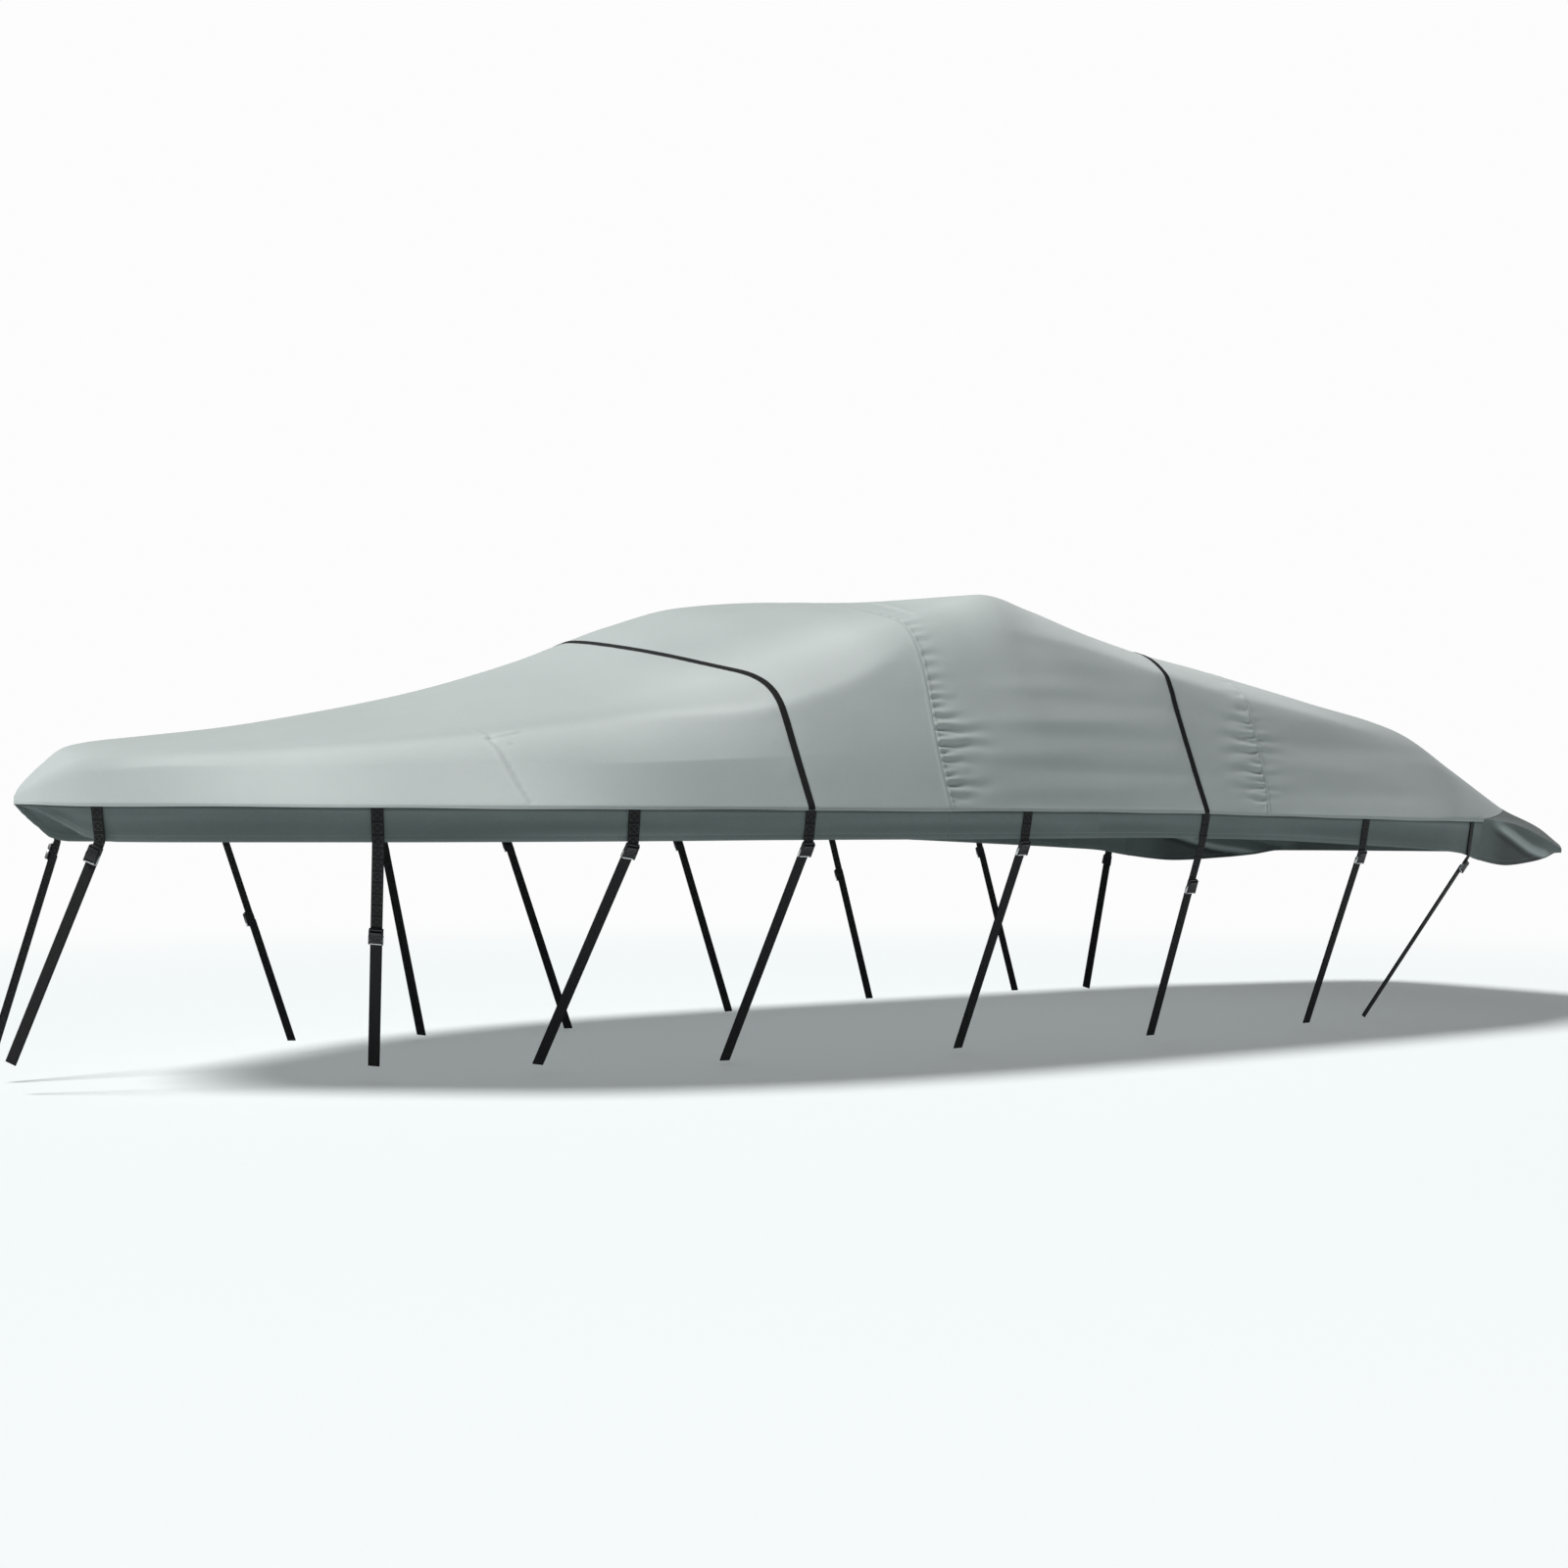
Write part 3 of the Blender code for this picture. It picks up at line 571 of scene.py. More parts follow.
def panel_stations(first, last, spacing):
    """x stations of a panel; felled seams at its ends get rows of their own."""
    rows = np.array([0.0, 0.0015, 0.004, 0.008, 0.0120, 0.0145, 0.018])
    head = FORM[first][X] + (rows if first in CROSS_SEAMS else rows[:1])
    tail = FORM[last][X] - (rows[::-1] if last in CROSS_SEAMS else rows[:1])
    return np.concatenate([head[:-1], walk(head[-1], tail[0], spacing), tail[1:]])


def panel_grid(first, last, spacing, scheme):
    """Half a panel from its turned edge to the crown: the run along it, the distance
    from a felled seam, x, the height up the cloth, and the points."""
    start, end = FORM[first][X], FORM[last][X]
    xs = panel_stations(first, last, spacing)
    heights = heights_up(scheme, girth(xs).max())[None, :]
    lap = heights <= 0
    share = np.where(lap, 0.0, heights / girth(xs).max())
    along = ((xs - start) / (end - start))[:, None]
    ends = [(first, start, 1 - along, xs - start), (last, end, along, end - xs)]
    ends = [row for row in ends if row[0] in CROSS_SEAMS]
    up = share * girth(xs)[:, None]
    for _ in range(3):
        x = xs[:, None] + sum((seam_x(seam, up) - plane) * near for seam, plane, near, _ in ends)
        up = share * girth(x)
    to_seam = np.min([away for *_, away in ends], axis=0).clip(max=SEAM_REACH)
    half = on_cloth(x, share)
    sway = 0.0011 * np.sin(xs * 5.1) + 0.0008 * np.sin(xs * 12.7 + 1.0)
    lowered = heights + sway[:, None] * np.minimum(-heights / LAP, 1)
    half[:, :, 2] += np.where(lap, lowered, 0.0)
    half[0, :, 0] += SEAM_GAP if first else 0.0
    half[-1, :, 0] -= SEAM_GAP
    return xs - start, to_seam, x, np.where(lap, heights, up), half


def light_panel(name, first, last, spacing, scheme, relief, tone):
    """One light panel with its folds, its turned edge and its felled cross seams."""
    run, to_seam, x, up, half = panel_grid(first, last, spacing, scheme)
    points, x, ups = both_sides(half, half * MIRROR), both_sides(x), both_sides(up)
    side = both_sides(np.ones(up.shape), -np.ones(up.shape))
    run, to_seam = (np.broadcast_to(a[:, None], x.shape) for a in (run, to_seam))
    normals = sheet_normals(points, HEM_LEVEL)
    amount = np.where(side < 0, relief(x, ups, -1), relief(x, ups, 1)) * ramp(ups, -0.004, 0.012)
    amount = amount + strap_grooves(x, points[:, :, 1], ups)
    edge_top = TURNED_EDGE - LAP
    amount = amount + DOUBLED * (1 - ramp(ups, edge_top, edge_top + 0.003))
    puckers = 0.0005 * soft_noise(x * 24 + side * 3, ups * 5, 41) * (1 - ramp(ups, -0.004, 0.03))
    amount = amount + puckers * ramp(np.abs(points[:, :, 1]), 0.02, 0.20)
    felled = 1 - ramp(to_seam, FELLED - 0.002, FELLED + 0.0015)
    amount = amount + DOUBLED * felled * ramp(ups, -0.002, 0.006)
    amount = amount - 0.0007 * (1 - ramp(to_seam, 0.0, 0.003))
    ahead = points[0] - points[1]
    points = points + normals * amount[:, :, None]
    metres = np.stack([run, np.where(side < 0, ups, 2 * up[:, -1:] - ups)], axis=2)
    marks = {"tone": tone(x, ups), "edge": np.minimum(ups + LAP, MARK_REACH), "seam": to_seam}
    if first:
        points, metres, marks = tuck_under(points, normals, ahead, metres, marks)
    return cloth_sheet(name, points, metres, marks, HEM_LEVEL)


def near_bow(x):
    return 0.007 if x < -2.75 else 0.009 if -1.75 < x < -1.53 else 0.020


def near_stern_seam(x):
    return 0.009 if x < 1.6 else 0.020


def near_seams(x):
    """Station spacing on the middle panel, closest where the cloth is gathered."""
    away = min(abs(x - FORM[seam][X]) for seam in CROSS_SEAMS)
    return 0.0065 if away < 0.10 else 0.010 if away < 0.26 else 0.019


def middle_relief(x, up, side):
    """Both gathers, long waves, the turned edges and, to port, a crease on the roof."""
    relief = tucks(x, up, BOW_TUCKS, seam_x(BOW_SEAM, up), 1, side)
    relief += tucks(x, up, STERN_TUCKS, seam_x(STERN_SEAM, up), -1, side)
    relief += waves(x, up, MIDDLE_WAVES, side) + shoulders(x, up)
    if side < 0:
        distance, hand, share = crease_distance(x, up, ROOF_CREASE)
        fade = np.sin(np.pi * np.clip(share, 0.02, 0.98))
        valley = 0.0022 * bell(distance - 0.022, 0.014) * (hand > 0)
        relief += fade * (0.0026 * bell(distance, 0.012) - valley)
    calm = ramp(x - seam_x(BOW_SEAM, up), 0.0, CALM_REACH)
    calm = calm * ramp(seam_x(STERN_SEAM, up) - x, 0.0, CALM_REACH)
    return relief + 0.0014 * calm * soft_noise(x * 3.0, up * 6.0, 5 if side < 0 else 6)


def stern_relief(x, up, side):
    """Low pulls, the turned edge and, at its front seam, a weaker gather."""
    relief = waves(x, up, STERN_WAVES, side) + shoulders(x, up)
    relief += 0.40 * tucks(x, up, STERN_TUCKS, seam_x(STERN_SEAM, up), 1, -side)
    calm = ramp(x - seam_x(STERN_SEAM, up), 0.0, CALM_REACH)
    return relief + 0.0020 * calm * soft_noise(x * 2.5, up * 5.0, 8 if side < 0 else 9)


def side_painted_shading(x, up):
    """Painted shading on the sides: painted shade low on the sides, and painted highlights above
    the turned edges and high on the sides from amidships aft.
    """
    # painted shade low on the sides, strongest forward of amidships
    painted_low_shade = 0.22 * (1 - ramp(up, 0.08, 0.42)) * ramp(x, -1.75, -1.30)
    # painted highlights just above the turned edges, and higher up the sides
    over = up - line_height(x, MID_SHOULDER)
    middle = 0.24 * ramp(over, -0.05, 0.03) * (1 - ramp(over, 0.16, 0.55))
    over = up - line_height(x, AFT_SHOULDER)
    aft = 0.30 * ramp(over, -0.03, 0.05) * ramp(x, 0.30, 0.60) * (1 - ramp(x, 1.6, 2.4))
    high = 0.15 * ramp(up, 0.30, 0.52) * ramp(x, 0.0, 0.5) * (1 - ramp(x, 1.7, 2.4))
    painted_light_tone = middle * ramp(x, -1.25, -0.80) * (1 - ramp(x, -0.30, 0.05)) + aft + high
    return 0.5 - painted_low_shade * (1 - 0.75 * ramp(x, 0.0, 1.3)) + painted_light_tone


def bow_painted_shading(x, up):
    """The sides' painted shading, and painted light on the flat band and on the cloth below it
    near the bow.
    """
    low, high = band_edges(x)
    present = ramp(x, -2.85, -2.45) * (1 - ramp(x, -0.95, -0.40))
    # painted highlight on the flat band, and painted light below it towards the bow
    over = ramp(up, low - 0.006, low + 0.006)
    inside = present * over * (1 - ramp(up, high - 0.05, high + 0.02))
    below = (1 - over) * (1 - ramp(x, -1.55, -1.05)) * ramp(x, -2.7, -2.3)
    return side_painted_shading(x, up) + 0.22 * inside + 0.30 * below


# ---- dark skirt ----
def skirt_face(at, up_share):
    """Points of the skirt's outer face on the starboard side: rows at, columns up."""
    s = section(at)
    tuck = HEM_TUCK * np.minimum(1.0, s[:, BEAM] / TUCK_BEAM)
    columns = []
    for share in up_share:
        xy = outline(at, CLOTH + PIECE_GAP + tuck * (1 - share))
        z = s[:, HEM] + (s[:, SEAM] - LAP_TOP - s[:, HEM]) * share + HEM_LEVEL
        columns.append(np.column_stack([xy, z]))
    return np.stack(columns, axis=1)


def skirt_relief(along, height, streaks):
    """The hem's stitched tunnel, its small gathers and the cloth's unevenness."""
    stitched = -0.0011 * bell(height - HEM_TUNNEL, 0.0028)
    gathers = 0.0007 * np.sin(along * 118 + 2.2 * np.sin(along * 9.1)) * np.exp(-height / 0.028)
    gathers = gathers + 0.0005 * np.sin(along * 61 + 1.3) * np.exp(-height / 0.05)
    pulls = 0.0010 * np.abs(soft_noise(along * 5.0, height * 22.0, 31))
    folds = 0.0026 * streaks * ramp(height, 0.010, 0.028)
    return stitched + gathers + folds - pulls - 0.0010


def dark_band(name, first, last, sides):
    """A length of skirt; sides lists the sides it runs along, from port to starboard."""
    at = stations(first, last, lambda x: 0.007 if x < -2.7 else 0.020)
    face = skirt_face(at, np.linspace(0, 1, 27) ** 0.8)
    face[0, :, 0] += SEAM_GAP if first else 0.0
    face[-1, :, 0] -= SEAM_GAP
    port = face * MIRROR
    if len(sides) == 2:
        points = np.concatenate([port[:0:-1], face], axis=0)
    else:
        points = port if sides[0] < 0 else face
    along = lengths_along(points[:, -1])[:, None]
    ends = np.minimum(along, along[-1] - along)
    height = points[:, :, 2] - points[:, :1, 2]
    top = height[:, -1:]
    level = HEM_LEVEL + 0.04
    normals = sheet_normals(points, level)
    normals[:, :, 2] *= 0.3
    streaks = soft_noise(along * 2.3, height * 46.0, 37)
    amount = skirt_relief(along, height, streaks) * (1 - ramp(height, top - 0.02, top - 0.004))
    amount = amount * ramp(np.abs(points[:, :, 1]), 0.0, 0.1) * ramp(ends, 0.0, 0.03)
    ahead = points[0] - points[1]
    points = points + normals * amount[:, :, None]
    metres = np.stack([np.broadcast_to(along, height.shape), height], axis=2)
    # lighter along the hem; painted light towards the top of the skirt; painted shading of its
    # folds in streaks; and a painted shadow under the turned edge of the light cloth
    skirt_tone_and_painted_shade = 0.45 + 0.10 * np.exp(-height / 0.010) + 0.12 * ramp(height, 0.3 * top, 0.9 * top)
    skirt_tone_and_painted_shade = skirt_tone_and_painted_shade + 0.09 * streaks - 0.42 * ramp(height, top - 0.021, top - 0.012)
    to_seam = np.broadcast_to(np.minimum(ends, SEAM_REACH), height.shape)
    marks = {"tone": skirt_tone_and_painted_shade, "edge": np.minimum(height, MARK_REACH), "seam": to_seam}
    if first:
        points, metres, marks = tuck_under(points, normals, ahead, metres, marks)
    return cloth_sheet(name, points, metres, marks, level)


# ---- stern cap ----
# the fold that runs down the cap's side, as x and share of the side's height
CAP_FOLD = np.array([
    (2.98, 1.00), (3.07, 0.89), (3.18, 0.76), (3.26, 0.66), (3.40, 0.47), (3.55, 0.31),
    (3.70, 0.13),
])
SIDE_COLUMNS = 22
# the lip turned in at the cap's end, as how far it reaches aft and how far it drops; the
# last row goes down to the hem
LIP = [(0.004, 0.002), (0.0070, 0.007), (0.0080, 0.014), (0.0080, 1.0)]


def cap_fold(x, share, height):
    """Relief and tone of the cap's side: it bulges to a ridge with a painted highlight, over a
    fold with painted shade and painted shade below it.
    """
    ridge = np.interp(x, CAP_FOLD[:, 0], CAP_FOLD[:, 1])
    away = (share - ridge) * height
    late = ramp(x, 2.95, 3.15) * (1 - ramp(x, 3.56, 3.72))
    above = np.clip((1.12 - share) / np.maximum(1.12 - ridge, 0.05), 0, 1)
    bulge = np.where(share > ridge, above, bell(np.minimum(away, 0), 0.013))
    fold = bell(away + 0.030, 0.013)
    # painted highlight along the ridge, painted shade in the fold and over the side below it
    painted_light_tone = 0.92 * bell(away - 0.001, np.minimum(0.019, 0.20 * height))
    tone = late * (painted_light_tone - 0.36 * fold - 0.24 * ramp(-away, 0.010, 0.035))
    return late * (0.013 * bulge - 0.005 * fold) * ramp(share, 0.0, 0.22), tone


def cap_lip(points):
    """Rows that turn in over the cap's end, kept within the reach of its sides."""
    across = np.arange(points.shape[1])
    middle = ramp(np.minimum(across, across[::-1]), 0, 8)
    end = points[-1, : SIDE_COLUMNS + 1]
    rows = []
    for aft, drop in LIP:
        row = points[-1:].copy()
        row[:, :, 2] = np.maximum(row[:, :, 2] - drop, end[0, 2])
        row[:, :, 0] += aft * middle
        reach = np.interp(row[:, :, 2], end[:, 2], np.abs(end[:, 1]))
        row[:, :, 1] = np.clip(row[:, :, 1], -reach, reach)
        rows.append(row)
    return rows


def stern_cap(name):
    """The dark end of the cover, in one piece from hem to hem."""
    at = stations(CAP_SEAM, LAST, lambda x: 0.011)
    sections = section(at)
    share = np.linspace(0, 1, SIDE_COLUMNS + 1)[:-1]
    skirt = skirt_face(at, share)
    skirt[:, :, 2] += 0.008 * ramp(sections[:, X], 3.64, 3.78)[:, None] * (1 - share)
    over = np.concatenate([
        np.linspace(0, 0.12, 9)[:-1], np.linspace(0.12, 0.35, 14)[:-1], np.linspace(0.35, 1, 26),
    ])
    tall = (sections[:, SEAM] - sections[:, HEM])[:, None]
    up_cloth = over * girth(sections[:, X])[:, None]
    half = np.concatenate([skirt, on_cloth(sections[:, X : X + 1], over)], axis=1)
    half[0] += np.array([0.0005, 0, -0.0008])      # its front edge lies lower than the panel's
    ups = both_sides(np.concatenate([(share - 1) * tall, up_cloth], axis=1))
    low_share = np.broadcast_to(share, (len(at), SIDE_COLUMNS))
    side_share = both_sides(np.concatenate([low_share, 1 + up_cloth / tall], axis=1))
    points = both_sides(half, half * MIRROR)
    level = HEM_LEVEL - 0.05
    normals = sheet_normals(points, level)
    x = points[:, :, 0]
    fold, shade = cap_fold(x, side_share, tall)
    pulls = 0.0020 * soft_noise(x * 6.0, ups * 9.0, 17) * ramp(ups, 0.02, 0.10)
    ahead = points[0] - points[1]
    amount = (fold + pulls) * ramp(np.arange(len(at)), 0, 6)[:, None]
    points = points + normals * amount[:, :, None]
    points = np.concatenate([points] + cap_lip(points))
    ups, shade = (np.concatenate([a] + [a[-1:]] * len(LIP)) for a in (ups, shade))
    along = np.broadcast_to(lengths_along(points[:, SIDE_COLUMNS])[:, None], ups.shape)
    from_hem = ups - ups[:, :1]
    # the cap's tone: painted highlight and shade of its side, painted shade over its top face,
    # and darker along the hem
    painted_light_tone = 0.40 + shade - 0.20 * ramp(ups, 0.03, 0.10) * (1 - ramp(ups, 0.30, 0.60))
    marks = {
        "tone": painted_light_tone - 0.10 * np.exp(-from_hem / 0.02),
        "edge": np.minimum(from_hem, MARK_REACH), "seam": np.minimum(along, SEAM_REACH),
    }
    metres = np.stack([along, ups], axis=2)
    points, metres, marks = tuck_under(points, normals, ahead, metres, marks)
    return cloth_sheet(name, points, metres, marks, level)


# ---- webbing ----
def webbing_strap(name, path, across, width, thick):
    """A flat woven strap along a path, with rounded edges; its UV map is in metres."""
    path, across = np.array(path, float), np.array(across, float)
    tangent = np.gradient(path, axis=0)
    tangent /= np.linalg.norm(tangent, axis=1, keepdims=True)
    across -= (across * tangent).sum(axis=1, keepdims=True) * tangent
    across /= np.linalg.norm(across, axis=1, keepdims=True)
    up = np.cross(tangent, across)
    half, edge = width / 2, thick / 2
    face = [(y, edge) for y in np.linspace(edge - half, half - edge, 9)]
    turns = [math.pi / 2 - math.pi * k / 4 for k in range(1, 4)]
    face += [(half - edge + edge * math.cos(a), edge * math.sin(a)) for a in turns]
    face = np.array(face)
    profile = np.concatenate([face, -face, face[:1]])
    points = path[:, None] + across[:, None] * profile[:, :1] + up[:, None] * profile[:, 1:]
    along, over = np.meshgrid(lengths_along(path), profile[:, 0] + half, indexing="ij")
    obj = grid_sheet(name, points, np.stack([along, over], axis=2), {})
    select_only(obj)
    bpy.ops.object.mode_set(mode="EDIT")
    bpy.ops.mesh.select_all(action="DESELECT")
    bpy.ops.mesh.select_non_manifold()
    bpy.ops.mesh.edge_face_add()
    bpy.ops.object.mode_set(mode="OBJECT")
    edit_whole(obj, bpy.ops.mesh.normals_make_consistent, inside=False)
    smooth(obj, CLOTH_ANGLE)
    return obj


def fine_path(corners, spacing):
    """More points along a line of corner points, evenly spread between each two."""
    fine = [Vector(corners[0])]
    for a, b in zip(corners, corners[1:]):
        count = max(1, int(round((b - a).length / spacing)))
        fine += [a.lerp(b, k / count) for k in range(1, count + 1)]
    return fine


# name, x at the skirt, x, y and height of the foot, and how far the buckle hangs down
TIE_DOWNS = [
    ("bow", -2.750, -2.960, 0.17, -0.71, 0.045),
    ("1", -2.030, -1.882, 0.45, -0.76, 0.340),
    ("2", -1.287, -1.336, 0.55, -0.78, 0.030),
    ("3", -0.680, -0.655, 0.65, -0.80, 0.030),
    ("4", 0.208, 0.235, 0.85, -0.79, 0.030),
    ("5", 1.076, 1.090, 0.97, -0.78, 0.190),
    ("6", 1.988, 1.978, 0.96, -0.78, 0.045),
    ("stern", 2.790, 2.400, 0.90, -0.78, 0.045),
]
STRAP_TURN, BUCKLE_GAP, HEM_LIFT, BUCKLE_CLEAR = 0.0018, 0.006, 0.004, 0.0004
TIE_THICK = WEBBING_THICK * 0.85
OVER_THICK, OVER_CLEAR = 0.0018, 0.0008


def tie_down_lines(tie):
    """The middle lines of one tie-down on the port side, as the solids have them."""
    _, x, foot_x, foot_y, foot_z, drop = tie
    at = row_at(x)
    s = section(at)[0]
    lift = CLOTH - WEBBING_THICK / 2 - PIECE_GAP
    here = outline(at, lift)[0]
    ahead, behind = outline(at + SLOPE_STEP, lift)[0], outline(at - SLOPE_STEP, lift)[0]
    along = Vector((ahead[0] - behind[0], -(ahead[1] - behind[1]), 0.0)).normalized()
    top = Vector((here[0], -here[1], s[SEAM] - LAP - PIECE_GAP + HEM_LEVEL))
    low = outline(at, lift + HEM_TUCK * min(1.0, s[BEAM] / TUCK_BEAM))[0]
    hem = Vector((low[0], -low[1], s[HEM] - HEM_LIFT + HEM_LEVEL))
    foot = Vector((foot_x, -foot_y, foot_z + HEM_LEVEL))
    down = (foot - hem).normalized()
    joint = hem + down * drop
    lean = (along - down * along.dot(down)).normalized()
    out = down.cross(lean)
    return top, hem, foot, joint, along, lean, down, out


def tie_down(tie, side, where):
    """The sewn webbing and the doubled strap of one tie-down; side is -1 for port."""
    top, hem, foot, joint, along, lean, down, out = tie_down_lines(tie)
    flip = Vector((1, -side, 1))

    def strap(part, path, across, finish, node):
        path, across = [p * flip for p in path], [a * flip for a in across]
        name = f"webbing_{where}_{tie[0]}_{part}"
        dress(webbing_strap(name, path, across, WEBBING, TIE_THICK), finish, node)

    node = f"strap_{where}_{tie[0]}"
    turning = fine_path([top, hem, joint - down * BUCKLE_GAP / 2], 0.012)
    share = [min(1.0, max(0.0, (top.z - p.z) / (top.z - hem.z))) for p in turning]
    across = [along.lerp(lean, f) for f in share]
    strap("sewn", turning, across, "sewn_webbing", f"{node}_upper")
    start = joint + down * BUCKLE_GAP / 2
    turn = [
        foot - out * STRAP_TURN + (down * math.sin(a) + out * math.cos(a)) * STRAP_TURN
        for a in (math.pi * i / 8 for i in range(9))
    ]
    back = fine_path([turn[-1], start - out * 2 * STRAP_TURN], 0.030)
    run = fine_path([start, turn[0]], 0.030)[:-1] + turn + back[1:]
    strap("loose", run, [lean] * len(run), "webbing", node)


def over_strap(strap):
    """A strap over the top, laid on the cloth from seam to seam."""
    name, x = strap[:2]
    share = np.linspace(0, 1, 91)
    xs = np.full(share.shape, x)
    for _ in range(4):
        xs = strap_x(strap, on_cloth(xs, share)[:, 1])
    window = np.hanning(19)[1:-1] / 9
    xs = np.convolve(np.pad(xs, 8, "reflect", reflect_type="odd"), window, "valid")
    path = on_cloth(xs, share)
    across = on_cloth(xs + 0.012, share) - on_cloth(xs - 0.012, share)
    normal = np.cross(np.gradient(path, axis=0), across)
    normal /= np.linalg.norm(normal, axis=1, keepdims=True)
    away = (path - np.array([0, 0, HEM_LEVEL])) * np.array([0, 1, 1])
    normal *= np.sign((normal * away).sum(axis=1, keepdims=True))
    up = share * girth(xs)
    relief = bow_relief if name == "over_strap_front" else middle_relief
    halves = []
    for side, _ in SIDES:
        raised = relief(xs, up, side) * ramp(up, -0.004, 0.012)
        bridged = np.convolve(np.pad(raised, 3, "edge"), np.ones(7) / 7, "valid")
        raised = np.maximum(raised - 0.0004, bridged) + OVER_CLEAR
        half = path + normal * raised[:, None]
        foot = half[:1] - np.array([0, 0, LAP])
        halves.append(np.concatenate([foot, half]))
    across = np.concatenate([across[:1], across])
    middle = (halves[0][-1:] + halves[1][-1:]) / 2
    path = np.concatenate([halves[0][:-1] * MIRROR, middle, halves[1][-2::-1]])
    across = np.concatenate([across * MIRROR, across[-2::-1]])
    obj = webbing_strap(f"{name}_webbing", path, across, OVER_WEBBING, OVER_THICK)
    dress(obj, "webbing", name)


# ---- cam buckle, modelled once about the origin: x across, y down the strap, z out ----
# name, size, centre, and the bevel of its edges
NYLON_BLOCKS = [
    ("base", (0.046, 0.058, 0.0026), (0, 0, 0.0013), 0.0008),
    ("cheek_left", (0.0042, 0.054, 0.0105), (-0.0209, 0.001, 0.0062), 0.0012),
    ("cheek_right", (0.0042, 0.054, 0.0105), (0.0209, 0.001, 0.0062), 0.0012),
    ("upper_bridge", (0.042, 0.0070, 0.0072), (0, -0.0245, 0.0045), 0.0014),
    ("lever", (0.0355, 0.0370, 0.0046), (0, 0.0010, 0.0096), 0.0012),
    ("thumb_edge", (0.0355, 0.0075, 0.0050), (0, -0.0160, 0.0118), 0.0016),
]
STEEL_BLOCKS = [
    ("frame_left", (0.0016, 0.0300, 0.0085), (-0.0238, 0.0120, 0.0060), 0.0006),
    ("frame_right", (0.0016, 0.0300, 0.0085), (0.0238, 0.0120, 0.0060), 0.0006),
]
# name, radius, length and centre of the round bars across the buckle
STEEL_BARS = [
    ("lower_bar", 0.0032, 0.0430, (0, 0.0262, 0.0068)),
    ("pivot", 0.0018, 0.0460, (0, 0.0120, 0.0085)),
]
# cross ribs on top of the lever: how many, their pitch, size and bevel
LEVER_RIBS, RIB_PITCH, RIB_SIZE, RIB_BEVEL = 5, 0.0050, (0.0300, 0.0018, 0.0016), 0.0004


def finish_block(name, bevel, segments, finish):
    """Names the new piece, bevels its edges and gives it its finish."""
    obj = bpy.context.object
    obj.name = name
    bpy.ops.object.transform_apply(location=True, rotation=True, scale=True)
    edit_whole(obj, bpy.ops.mesh.bevel, offset=bevel, segments=segments, affect="EDGES")
    obj.data.materials.append(finishes[finish])
    return obj


def block(name, size, centre, bevel, finish, segments=2):
    bpy.ops.object.select_all(action="DESELECT")
    bpy.ops.mesh.primitive_cube_add(size=1, location=centre)
    bpy.context.object.scale = size
    return finish_block(name, bevel, segments, finish)


def bar(name, radius, length, centre):
    turned = (0, math.pi / 2, 0)
    bpy.ops.object.select_all(action="DESELECT")
    bpy.ops.mesh.primitive_cylinder_add(
        vertices=20, radius=radius, depth=length, location=centre, rotation=turned
    )
    return finish_block(name, radius * 0.2, 1, "steel")


def cam_buckle():
    """Side cheeks, base plate, ribbed cam lever and a bright bar, as one pattern."""
    pieces = [block(*row, "nylon") for row in NYLON_BLOCKS]
    for i in range(LEVER_RIBS):
        centre = (0, i * RIB_PITCH - 0.0060, 0.0122)
        pieces.append(block(f"rib_{i}", RIB_SIZE, centre, RIB_BEVEL, "nylon", 1))
    pieces += [bar(*row) for row in STEEL_BARS]
    pieces += [block(*row, "steel") for row in STEEL_BLOCKS]
    for piece in pieces:
        piece.select_set(True)
    bpy.context.view_layer.objects.active = pieces[0]
    bpy.ops.object.join()
    smooth(pieces[0], BUCKLE_ANGLE)
    return pieces[0]


def place_buckles(pattern):
    for tie in TIE_DOWNS:
        *_, joint, _, lean, down, out = tie_down_lines(tie)
        base = joint + out * (WEBBING_THICK / 2 + BUCKLE_CLEAR)
        for side, where in SIDES:
            flip = Vector((1, -side, 1))
            turn = Matrix([lean * flip, down * flip, out * flip]).transposed().to_4x4()
            turn.translation = base * flip
            copy = pattern.copy()
            copy.data = pattern.data.copy()
            copy.name = copy.data.name = f"cam_buckle_{where}_{tie[0]}"
            bpy.context.scene.collection.objects.link(copy)
            copy.data.transform(turn)
            if turn.determinant() < 0:
                copy.data.flip_normals()
            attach(copy, "root")
            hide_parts(f"buckle_{where}_{tie[0]}")
    bpy.data.objects.remove(pattern)


# ---- materials ----
def linear(colour):
    """An sRGB hex value as linear red, green, blue and alpha."""
    parts = [int(colour[i : i + 2], 16) / 255 for i in (1, 3, 5)]
    parts = [p / 12.92 if p <= 0.04045 else ((p + 0.055) / 1.055) ** 2.4 for p in parts]
    return (*parts, 1.0)


def add_node(tree, kind, sockets=None, **settings):
    """Adds one node with its settings. Each socket takes a value, an output to link, or
    a node whose first output is linked."""
    node = tree.nodes.new("ShaderNode" + kind)
    for key, value in settings.items():
        setattr(node, key, value)
    for key, value in (sockets or {}).items():
        if isinstance(value, bpy.types.Node):
            value = value.outputs[0]
        if isinstance(value, bpy.types.NodeSocket):
            tree.links.new(value, node.inputs[key])
        else:
            node.inputs[key].default_value = value
    return node


def new_finish(name, roughness, **sockets):
    """A material with its node tree and its shader, whose sockets get these values."""
    finish = bpy.data.materials.new(name)
    finish.use_nodes = True
    tree = finish.node_tree
    shader = tree.nodes["Principled BSDF"]
    shader.inputs["Roughness"].default_value = roughness
    for key, value in sockets.items():
        shader.inputs[key.replace("_", " ")].default_value = value
    return finish, tree, shader


def object_place(tree):
    return add_node(tree, "TexCoord").outputs["Object"]


